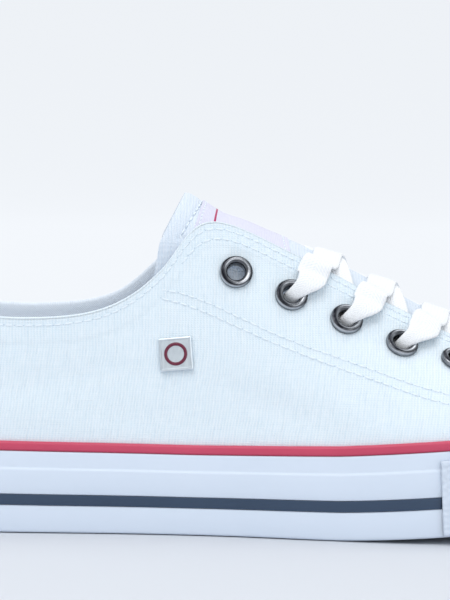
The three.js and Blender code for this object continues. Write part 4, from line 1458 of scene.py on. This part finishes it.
@dataclass
class TonguePad:
    """The tongue with its hem, its stitching and its sewn label."""

    thickness: float = 3
    sweep: float = 82
    shift: float = 0.6
    narrower: float = 1.6
    flare: float = 5.4
    skirt: float = 9
    flare_angle: float = 58
    flare_start: float = 112.5
    flare_end: float = 129
    dip: float = 1.2
    dip_along: float = 115
    dip_width: float = 5.5
    rise: float = 0.8
    rise_start: float = 132
    rise_end: float = 190
    tip_end: float = 112
    tip_skirt: float = 6.4
    tip_skirt_angle: float = 76
    puff: float = 0.30
    hem: float = 5.6
    hem_rise: float = 0.18
    hem_press: float = 0.30
    hem_angle: float = 66
    hem_pitch: float = 2.7
    edge_round: float = 0.5
    label_start: float = 5
    label_length: float = 25
    label_width: float = 33
    label_thickness: float = 0.4
    label_lift: float = 0.34
    label_curve: float = 5.6
    label_row: float = 1.1
    label_pitch: float = 1.8

    @property
    def tip(self) -> float:
        """Length at which the tongue's crown starts."""
        return float(self.crown(np.array([0.0]))[0, 0])

    def value(self, s: Array, name: str) -> Array:
        """Reads a column of the tongue's table, s = 0 at the tip and 1 at the root."""
        column = TONGUE[name]
        padded = np.concatenate([[2 * column[0] - column[1]], column, [2 * column[-1] - column[-2]]])
        last = len(column) - 1
        place = np.clip(s, 0, 1) * last
        first = np.minimum(np.floor(place).astype(int), last - 1)
        return smooth(*(padded[first + step] for step in range(4)), place - first)

    def crown(self, s: Array) -> Array:
        """Middle of the tongue's crown."""
        x = self.value(s, "along") * LAST.length
        dip = self.dip * bell(x - self.dip_along, self.dip_width)
        rise = self.rise * soft_step(x - self.rise_start, 14) * (1 - soft_step(x - self.rise_end, 24))
        z = self.value(s, "height") * LAST.instep_height - dip + rise
        return np.stack([x, np.full_like(x, self.shift), z], -1)

    def point(self, s: Array, angle: Array, depth: Array) -> Array:
        """Points of the tongue a depth under its outer face, across its arch by an angle."""
        s, angle, depth = np.broadcast_arrays(*(np.asarray(v, float) for v in (s, angle, depth)))
        run = unit(self.crown(np.minimum(s + HAIR, 1)) - self.crown(np.maximum(s - HAIR, 0)))
        normal = np.stack([-run[..., 2], 0 * run[..., 0], run[..., 0]], -1)
        turned = np.radians(angle)
        tuck = self.narrower * soft_step(s - 0.18, 0.12)
        half = self.value(s, "half") * LAST.ball_width - depth - tuck
        drop = self.value(s, "drop") * LAST.ball_width - depth
        point = self.crown(s)
        x = point[..., 0]
        side = soft_step(np.abs(angle) - self.flare_angle, 30)
        side = side * soft_step(x - self.flare_start, 5) * (1 - soft_step(x - self.flare_end, 9))
        drop = drop + self.skirt * side
        near_tip = 1 - soft_step(x - self.tip_end, 12)
        point[..., 1] += (half + self.flare * side) * np.sin(turned)
        point[..., 2] -= self.tip_skirt * near_tip * soft_step(np.abs(angle) - self.tip_skirt_angle, 12)
        return point - normal * (depth + drop * (1 - np.cos(turned)))[..., None]

    def normal(self, s: Array, angle: Array) -> Array:
        """Outward normals of the tongue."""
        return unit(self.point(s, angle, -0.5) - self.point(s, angle, 0.5))

    def place_at(self, x: float) -> float:
        """Place along the tongue where its crown lies at a length."""
        return halve(0, 1, lambda s: float(self.crown(np.array([s]))[0, 0]) < x)

    def over(self, x: float, y: float, height: float) -> tuple[Array, Array]:
        """Point and normal over the tongue at a length and a width."""
        s = self.place_at(x)
        half = float(self.value(np.array([s]), "half")[0]) * LAST.ball_width - self.narrower
        angle = math.degrees(math.asin(max(-0.97, min(0.97, (y - self.shift) / half))))
        at = np.array([s]), np.array([angle])
        point = self.point(*at, np.array([-height]))[0]
        point[0] = x
        return point, self.normal(*at)[0]

    def edge_distances(self, s: Array, angle: Array) -> Array:
        """Distance of places on the tongue from its tip or its side edges."""
        tip = np.linalg.norm(self.crown(s) - self.crown(0 * s), axis=-1)
        # A degree of the arch is about a third of a millimetre.
        return np.minimum(tip, (self.sweep - np.abs(angle)) / 3)

    def pad(self) -> bpy.types.Object:
        """The tongue's pad with its turned hem."""
        def place(s: Array, t: Array) -> Array:
            along, angle = 1 - t, self.sweep * (1 - 2 * s)
            edge = self.edge_distances(along, angle)
            rise = self.puff * soft_step(edge - self.hem - 1.4, 3.0)
            rise = rise + self.hem_rise * (1 - soft_step(edge - self.hem, 0.8))
            rise = rise - self.hem_press * bell(edge - self.hem, 0.9) - self.edge_round * bell(edge, 0.8)
            return self.point(along, angle, -rise)

        def cloth(s: Array, t: Array) -> Array:
            angle = self.sweep * (1 - 2 * s)
            return np.stack([self.point(1 - t, angle, 0 * t)[:, 0], np.radians(angle) * 22], -1)

        grid = warped_grid(110, 190, place, cloth)
        face_up(grid)
        piece = to_object(grid, "tongue_canvas")
        thicken(piece, self.thickness * 0.85)
        round_edges(piece, 0.8, 4, 50)
        return piece

    def hem_seam(self) -> Seam:
        """The sewn line along the tongue's hem."""
        count, side_count = 140, 100
        tip = self.place_at(self.tip + self.hem * 0.87)
        sides = np.linspace(0.5, tip, side_count)
        s = np.concatenate([sides, np.full(count, tip), sides[::-1]])
        ends = np.full(side_count, self.hem_angle)
        angle = np.concatenate([-ends, np.linspace(-self.hem_angle, self.hem_angle, count), ends])
        return Seam(self.point(s, angle, np.full(s.shape, 0.1)), self.normal(s, angle), self.hem_pitch)

    def label(self) -> tuple[bpy.types.Object, Seam]:
        """The woven label and the line that sews it down."""
        start = self.tip + self.label_start
        first, last = self.place_at(start), self.place_at(start + self.label_length)
        size = np.array([self.label_width, self.label_length])

        def spots(s: Array, t: Array) -> tuple[Array, Array]:
            along = first + (last - first) * (1 - t)
            half = self.value(along, "half") * LAST.ball_width
            angle = np.degrees(np.arcsin((1 - 2 * s) * self.label_width / 2 / half))
            curve = self.label_curve * (1 - np.cos(np.radians(angle)))
            return along + curve * (last - first) / self.label_length, angle

        def place(s: Array, t: Array) -> Array:
            edge = np.minimum(np.minimum(s, 1 - s) * size[0], np.minimum(t, 1 - t) * size[1])
            sunk = 0.10 * bell(edge - self.label_row, 0.5)
            return self.point(*spots(s, t), sunk - self.label_lift - self.label_thickness * 0.7)

        def cloth(s: Array, t: Array) -> Array:
            return np.stack([(s - 0.5) * self.label_width, (1 - t) * self.label_length], -1)

        grid = warped_grid(54, 60, place, cloth)
        face_up(grid)
        piece = to_object(grid, "tongue_label_weave")
        thicken(piece, self.label_thickness)
        round_edges(piece, 0.2)
        (a, b), (c, d) = self.label_row / size, 1 - self.label_row / size
        corners = np.array([(a, b), (c, b), (c, d), (a, d), (a, b)])
        s, t = (np.interp(np.arange(161) / 40, np.arange(5), corners[:, k]) for k in (0, 1))
        return piece, Seam(place(s, t), self.normal(*spots(s, t)), self.label_pitch)

    def build(self, thread: bpy.types.Material) -> None:
        """Builds and dresses the tongue's pieces."""
        dress(self.pad(), "canvas", SHADED_TONGUE_CANVAS.build(), replaces="tongue")
        label, edge = self.label()
        dress(label, "label_cloth", LabelFinish().build(), replaces="tongue_label")
        sew("tongue_stitching", [self.hem_seam()], thread)
        sew("label_stitching", [edge], thread, "label_cloth", width=0.38, height=0.26)
        log.info("tongue built")


TONGUE_PAD = TonguePad()


@dataclass
class EyeletSet:
    """Plated eyelets with a rolled flange outside and a clinched skirt inside."""

    flange: float = 9.5
    barrel: float = 6.2
    bore: float = 5
    crest: float = 1.45
    steps: int = 40
    arc_steps: int = 18
    # Where the painted highlights fall across the flange: the crest's arc, the lip and a low arc on the outer
    # edge.
    bright_share: float = 0.55
    bright_shift: float = 0.30
    bright_width: float = 0.17
    lip_share: float = 0.12
    lip_width: float = 0.16
    low_arc_share: float = 0.90
    low_arc_width: float = 0.09

    def profile(self) -> list[tuple[float, float]]:
        """Section of an eyelet as pairs of radius and height."""
        outer, inner = self.flange / 2, self.bore / 2
        middle = (outer + inner) / 2 + 0.1
        arc = []
        for angle in (math.pi * i / self.arc_steps for i in range(self.arc_steps + 1)):
            reach = outer - middle if angle < math.pi / 2 else middle - inner
            arc.append((middle + reach * math.cos(angle), 0.05 + self.crest * math.sin(angle) ** 0.8))
        low, skirt = -LAST.wall + 0.1, self.barrel / 2
        inside = [(inner + 0.02, -0.6), (inner, low), (inner + 0.25, low - 0.35), (inner + 0.9, low - 0.42),
                  (skirt + 1.0, low - 0.25), (skirt + 0.9, low - 0.05), (skirt, low), (skirt, 0.0)]
        return [(outer, -0.02), *arc, *inside]

    def painted_glint(self, x: float, y: float, height: float) -> float:
        """Painted reflection on the dark plating at a point: bright arcs on the crest, the lip and low on the
        outer edge, black elsewhere and darker towards the top.

        Args:
            x: Place across the eyelet, towards the toe on the lateral side.
            y: Place up the wall.
            height: Height off the canvas.

        Returns:
            0 where the painted reflection is black and 1 where its painted highlight is brightest.
        """
        radius = math.hypot(x, y)
        share = (radius - self.bore / 2) / (self.flange - self.bore) * 2
        back, below = max(0.0, -x / radius), max(0.0, -(y + x) / math.sqrt(2) / radius)
        above = (y - x) / math.sqrt(2) / radius
        # Flat foot of the flange and the skirt inside: painted dark, lighter towards the lower side.
        if height <= 0.3:
            return 0.12 - 0.5 * min(0.0, above)
        # Painted highlight along the crest, shifted inwards on the heel side, with a fainter one on the lip.
        bright = 0.85 * bell(share - self.bright_share + self.bright_shift * back, self.bright_width)
        bright += 0.25 * bell(share - self.lip_share, self.lip_width)
        # Painted highlight low on the outer edge, towards the heel.
        low_arc = math.sqrt(below) * bell(share - self.low_arc_share, self.low_arc_width)
        return max(bright * (1 - 0.3 * above) * (1 - 0.72 * below), low_arc)

    def eyelet(self, name: str, point: Array, normal: Array, upward: Array) -> bpy.types.Object:
        """One eyelet stood on the canvas."""
        ring = spun(self.profile(), self.steps)
        # Each point carries how bright its painted reflection is.
        layer = ring.verts.layers.float.new(PAINTED_GLINT)
        for vertex in ring.verts:
            vertex[layer] = self.painted_glint(*vertex.co)
        bmesh.ops.transform(ring, matrix=stand(point, normal, upward), verts=ring.verts[:])
        return to_object(ring, name)

    def build(self) -> None:
        """Builds and dresses the twelve eyelets."""
        plate = DARK_PLATE.build()
        for (side, row), place in EYELETS.items():
            node = f"eyelet_{side.name.lower()}_{row}"
            dress(self.eyelet(f"{node}_plated", *place), "eyelet_metal", plate, replaces=node)
        log.info("eyelets built")


LACE_RISE = table(
    ("off", "out", "ahead", "face_off", "face_out", "width", "thickness"),
    [
        (-6.00, -1.0, 0.0, 0.0, -1.00, 4.3, 2.2),
        (-2.20, -0.3, 0.0, 0.0, -1.00, 4.3, 2.2),
        (0.70, 0.2, 0.6, 0.4, -1.00, 4.0, 2.2),
        (2.35, 2.3, 1.7, 1.0, -0.55, 5.4, 1.7),
        (2.15, 5.6, 2.2, 1.0, 0.10, 8.4, 1.3),
    ],
)

LACE_HILLS = table(
    ("share", "across", "lift", "tipped"),
    [
        (0.24, 11.5, 0.6, 0.9),
        (0.42, 2.0, 1.0, 1.0),
        (0.60, -8.0, 0.5, 0.9),
        (0.74, -15.5, 0.0, 0.3),
    ],
)


@dataclass
class LaceStation:
    """One station of a lace: its middle, its face and its section."""

    point: Array
    normal: Array
    width: float
    thickness: float


@dataclass
class FlatLace:
    """Flat braided laces from the second row to the last."""

    first_row: int = 2
    width: float = 8.4
    thickness: float = 1.25
    lift: float = 1.15
    clearance: float = 0.85
    edge_lift: float = 0.8
    lean: float = 0.2
    edge_share: float = 0.45
    seat_share: float = 0.62
    dive: float = 6.0
    dive_share: float = 0.90
    ring: int = 20
    steps: int = 14

    def spread(self, stations: list[LaceStation]) -> tuple[Array, Array, Array, Array]:
        """Smooth stations through the given ones."""
        raw = np.array([[*s.point, *s.normal, s.width, s.thickness] for s in stations])
        padded = np.concatenate([[2 * raw[0] - raw[1]], raw, [2 * raw[-1] - raw[-2]]])
        shares = np.arange(self.steps)[:, None] / self.steps
        fine = [smooth(*padded[i:i + 4], shares) for i in range(len(raw) - 1)]
        fine = np.concatenate([*fine, raw[-1:]])
        return fine[:, :3], unit(fine[:, 3:6]), fine[:, 6], fine[:, 7]

    def strap(self, stations: list[LaceStation]) -> bmesh.types.BMesh:
        """One stretch of lace as a closed flat tube."""
        points, normals, widths, thicknesses = self.spread(stations)
        run = unit(np.gradient(points, axis=0))
        across = unit(np.cross(run, normals))
        face = unit(np.cross(across, run))
        walk = walked(points)
        count = len(points) - 1

        def section(s: Array, t: Array) -> tuple[Array, Array, Array]:
            """Station and place in the lace's section of each point."""
            c, d = np.cos(math.tau * s), np.sin(math.tau * s)
            i = np.rint(t * count).astype(int)
            return i, np.sign(c) * np.abs(c) ** 0.75, np.sign(d) * np.abs(d) ** 0.62

        def place(s: Array, t: Array) -> Array:
            i, c, d = section(s, t)
            dent = 1 - 0.16 * (1 - c * c) * (1 - soft_step(self.width - widths[i] - 1, 1))
            over = c * widths[i] / 2, d * thicknesses[i] / 2 * dent
            return points[i] + across[i] * over[0][:, None] + face[i] * over[1][:, None]

        def cloth(s: Array, t: Array) -> Array:
            i, c, _ = section(s, t)
            return np.stack([c * self.width / 2, walk[i]], -1)

        grid = warped_grid(self.ring, count, place, cloth)
        weld(grid, 0.00001)
        cap_ends(grid)
        face_out(grid)
        return grid

    def rise_from(self, side: Side, row: int, toward: Array) -> list[LaceStation]:
        """Stations from inside an eyelet up and over the throat's edge.

        Args:
            side: Side of the eyelet.
            row: Row of the eyelet.
            toward: Where the lace heads for.

        Returns:
            The stations, up to the throat's edge.
        """
        middle, normal, _ = EYELETS[side, row]
        u, v = PLAN.place(side, row)
        edge_x = middle[0] + (toward[0] - middle[0]) * self.edge_share
        edge_u = LAST.round_at(LAST.topline, side, edge_x)
        at = np.array([edge_u]), np.array([1.0])
        edge, top_face = LAST.topline(at[0])[0], unit(LAST.normal(*at)[0] + 0.5 * UP)
        lean = unit(edge - middle)
        out = unit(lean - normal * float(lean @ normal))
        ahead = unit(np.array([1.0, 0, 0]) - normal * normal[0])
        spot = np.array([u + (edge_u - u) * self.seat_share]), np.array([v + (1 - v) * self.seat_share])
        seat, seat_normal = LAST.point(*spot)[0], LAST.normal(*spot)[0]
        stations = []
        for off, up, on, face_off, face_out, width, thickness in zip(*LACE_RISE.values()):
            facing = unit(normal * face_off + out * face_out)
            point = middle + normal * off + out * up + ahead * on
            stations.append(LaceStation(point, facing, width, thickness))
        return stations + [
            LaceStation(seat + seat_normal * 1.25 + ahead * 1.8, seat_normal, 9.2, self.thickness),
            LaceStation(edge + top_face * 1.15 + ahead * 0.6, top_face, 8.9, self.thickness),
        ]

    def diagonal(self, side: Side, row: int, lift: float) -> list[LaceStation]:
        """Stations of one lace that crosses to the next row and dives under its edge."""
        end, end_normal, end_rise = EYELETS[side.other, row + 1]
        stations = self.rise_from(side, row, end)
        edge_x = float(stations[-1].point[0])
        reach = end[0] - edge_x
        for share, across, part, tipped in zip(*LACE_HILLS.values()):
            height = self.clearance + lift * part + self.edge_lift * tipped
            point, normal = TONGUE_PAD.over(edge_x + reach * share, side.value * across, height)
            normal = unit(normal - np.array([self.lean * tipped, 0.0, 0.0]))
            stations.append(LaceStation(point, normal, self.width, self.thickness))
        far = np.array([PLAN.place(side.other, row + 1)[0]])
        at = far, LAST.share_below_top(far, self.dive)
        inner = LAST.off(*at, np.array([-LAST.wall - 1.0]))[0]
        inner[0] = edge_x + reach * self.dive_share
        return stations + [
            LaceStation(inner, LAST.normal(*at)[0], 7.4, 1.2),
            LaceStation(end - end_normal * 3.4 + end_rise * 1.2, end_normal, 5.6, 1.5),
            LaceStation(end - end_normal * 4.6 - end_rise * 1.0, end_normal, 4.6, 1.9),
        ]

    def bar(self) -> list[LaceStation]:
        """Stations of the straight lace over the last row."""
        rising, falling = (self.rise_from(side, PLAN.rows, EYELETS[side, PLAN.rows][0]) for side in Side)
        first, final = rising[-1], falling[-1]
        face = unit(first.normal + final.normal)
        middle = LaceStation((first.point + final.point) / 2 + UP, face, self.width, self.thickness)
        return [*rising, middle, *falling[::-1]]

    def build(self) -> None:
        """Builds and dresses every stretch of lace."""
        braid = BraidFinish().build()
        for row in range(self.first_row, PLAN.rows):
            for side, lift in ((Side.MEDIAL, 0.0), (Side.LATERAL, self.lift)):
                grid = self.strap(self.diagonal(side, row, lift))
                piece = to_object(grid, f"lace_{side.name.lower()}_{row}")
                dress(piece, "lace_cotton", braid, replaces=f"lace_crossing_{row}")
        dress(to_object(self.strap(self.bar()), "lace_last_row"), "lace_cotton", braid, replaces="lace_bar")
        log.info("laces built")


@dataclass
class SideBadge:
    """Square metal badge with a plain enamel ring."""

    along: float = 102.5
    height: float = 51.2
    side: float = 9.5
    thickness: float = 1
    bevel: float = 0.28
    rim: float = 0.55
    sunk: float = 0.14
    turn: float = 6
    ring: float = 6.6
    ring_wall: float = 0.9
    ring_bevel: float = 0.12
    rise: float = 0.4

    def plate(self) -> bmesh.types.BMesh:
        """The plate with a raised rim."""
        plate = bmesh.new()
        bmesh.ops.create_cube(plate, size=1)
        bmesh.ops.scale(plate, vec=(self.side, self.side, self.thickness), verts=plate.verts[:])
        bmesh.ops.translate(plate, vec=(0, 0, LAST.gap + self.thickness / 2), verts=plate.verts[:])
        bmesh.ops.bevel(plate, geom=plate.edges[:], offset=self.bevel, offset_type="OFFSET", segments=3,
                        profile=0.5, affect="EDGES", material=-1)
        top = max(plate.faces, key=lambda face: face.calc_center_median().z)
        bmesh.ops.inset_region(plate, faces=[top], thickness=self.rim, depth=0)
        bmesh.ops.inset_region(plate, faces=[top], thickness=0.12, depth=-self.sunk)
        return plate

    def enamel(self) -> bmesh.types.BMesh:
        """The ring that stands in the plate's middle."""
        outer, inner, turn = self.ring / 2, self.ring / 2 - self.ring_wall, self.ring_bevel
        low, high = LAST.gap + self.thickness - 0.3, LAST.gap + self.thickness + self.rise - self.sunk
        return spun([(outer, low), (outer, high - turn), (outer - turn, high), (inner + turn, high),
                     (inner, high - turn), (inner, low)], 48)

    def build(self) -> None:
        """Builds and dresses the plate and its ring."""
        u, v = LAST.place(Side.LATERAL, self.along, self.height)
        at = np.array([u]), np.array([v])
        turned = Matrix.Rotation(math.radians(self.turn), 4, "Z")
        seat = stand(LAST.point(*at)[0], LAST.normal(*at)[0], UP) @ turned
        plate, ring = self.plate(), self.enamel()
        for grid in (plate, ring):
            bmesh.ops.transform(grid, matrix=seat, verts=grid.verts[:])
        piece = to_object(plate, "badge_plate", smooth_faces=False)
        dress(piece, "badge_metal", BRIGHT_PLATE.build(), replaces="badge")
        dress(to_object(ring, "badge_enamel_ring"), "badge_metal", RED_ENAMEL.build())
        log.info("badge built")


@dataclass
class Studio:
    """Pale floor that sweeps up into a backdrop, soft lights and the camera."""

    floor_colour: tuple[float, float, float] = (0.68, 0.70, 0.74)
    elevation: float = 4.5
    roll: float = 0.6
    distance: float = 0.9
    target: tuple[float, float, float] = (-0.0187, -0.040, 0.0676)
    lens: float = 192.4
    backdrop_at: float = 1.6
    backdrop_radius: float = 0.9
    sheet_width: float = 9
    sheet_run: float = 7.2
    sheet_front: float = 2.6
    glow_start: float = 0.12
    glow_full: float = 0.55
    glow_colour: tuple[float, float, float] = (0.822, 0.852, 0.892)
    air_colour: tuple[float, float, float] = (0.90, 0.95, 1.0)
    air_strength: float = 0.60

    def camera(self) -> None:
        """Places the camera at the photograph's angle to the shoe."""
        data = bpy.data.cameras.new("camera")
        camera = bpy.data.objects.new("camera", data)
        bpy.context.scene.collection.objects.link(camera)
        tilt, roll = math.radians(self.elevation), math.radians(self.roll)
        forward = Vector((0, math.cos(tilt), -math.sin(tilt)))
        upward = Vector((0, math.sin(tilt), math.cos(tilt)))
        right = Vector((1, 0, 0))
        turned_right = right * math.cos(roll) + upward * math.sin(roll)
        turned_up = upward * math.cos(roll) - right * math.sin(roll)
        rotation = Matrix((turned_right, turned_up, -forward)).transposed().to_4x4()
        camera.matrix_world = Matrix.Translation(Vector(self.target) - forward * self.distance) @ rotation
        data.lens = self.lens
        data.sensor_width = 36
        data.clip_start, data.clip_end = 0.01, 20
        bpy.context.scene.camera = camera

    def paper(self) -> bpy.types.Material:
        """Pale paper that glows behind the shoe."""
        n = Nodes("studio_paper")
        place = n.coordinates(cloth=False)
        fade = n.add("ShaderNodeMapRange", interpolation_type="SMOOTHSTEP", clamp=True)
        for name, value in (("From Min", self.glow_start), ("From Max", self.glow_full),
                            ("Value", n.split(place)[1])):
            n.put(value, fade.inputs[name])
        low = tuple(c * 0.985 for c in self.floor_colour)
        paper = n.blend(n.noise(place, 2.0, 1), low, self.floor_colour)
        n.set(base_color=n.blend(fade.outputs[0], paper, (0.02, 0.02, 0.02)), roughness=0.75,
              specular_ior_level=0.25, emission_color=(*self.glow_colour, 1),
              emission_strength=fade.outputs[0])
        return n.material

    def backdrop(self) -> None:
        """One sheet for the floor and the wall behind it."""
        def place(s: Array, t: Array) -> Array:
            x = (s - 0.5) * self.sheet_width
            run = t * self.sheet_run - self.sheet_front
            bend = self.backdrop_radius * math.pi / 2
            over = np.clip((run - self.backdrop_at) / bend, 0, 1) * math.pi / 2
            past = np.maximum(run - self.backdrop_at - bend, 0)
            y = np.minimum(run, self.backdrop_at) + self.backdrop_radius * np.sin(over)
            z = self.backdrop_radius * (1 - np.cos(over)) + past
            return np.stack([x, y, z], -1) / MM + SHIFT

        sheet = to_object(warped_grid(8, 96, place), "studio_sheet")
        sheet.data.materials.append(self.paper())

    def light(self, name: str, place: tuple[float, float, float], size: tuple[float, float],
              power: float, colour: tuple[float, float, float]) -> None:
        """One soft panel that faces the shoe."""
        data = bpy.data.lights.new(name, "AREA")
        data.shape = "RECTANGLE"
        data.size, data.size_y = size
        data.energy = power
        data.color = colour
        lamp = bpy.data.objects.new(name, data)
        lamp.location = place
        lamp.rotation_euler = (Vector((0, 0, 0.04)) - Vector(place)).to_track_quat("-Z", "Y").to_euler()
        bpy.context.scene.collection.objects.link(lamp)

    def build(self) -> None:
        """Sets the whole studio."""
        scene = bpy.context.scene
        scene.view_settings.view_transform = "Standard"
        scene.view_settings.look = "None"
        scene.world = bpy.data.worlds.new("studio_air")
        scene.world.use_nodes = True
        air = scene.world.node_tree.nodes["Background"]
        air.inputs["Color"].default_value = (*self.air_colour, 1)
        air.inputs["Strength"].default_value = self.air_strength
        self.backdrop()
        self.light("key_panel", (-0.45, -0.9, 1.5), (1.3, 1.0), 11.3, (1.0, 0.99, 0.98))
        self.light("top_panel", (0.25, 0.35, 1.5), (1.4, 1.2), 8.2, (0.97, 0.985, 1.0))
        self.light("front_panel", (0.6, -1.7, 0.7), (1.2, 0.9), 5.3, (0.97, 0.985, 1.0))
        self.camera()
        log.info("studio set")


def main() -> None:
    """Builds the shoe piece by piece."""
    Studio().build()
    thread = ThreadFinish().build()
    SoleUnit().build()
    CanvasUpper().build(thread)
    TONGUE_PAD.build(thread)
    EyeletSet().build()
    FlatLace().build()
    SideBadge().build()


if __name__ == "__main__":
    main()
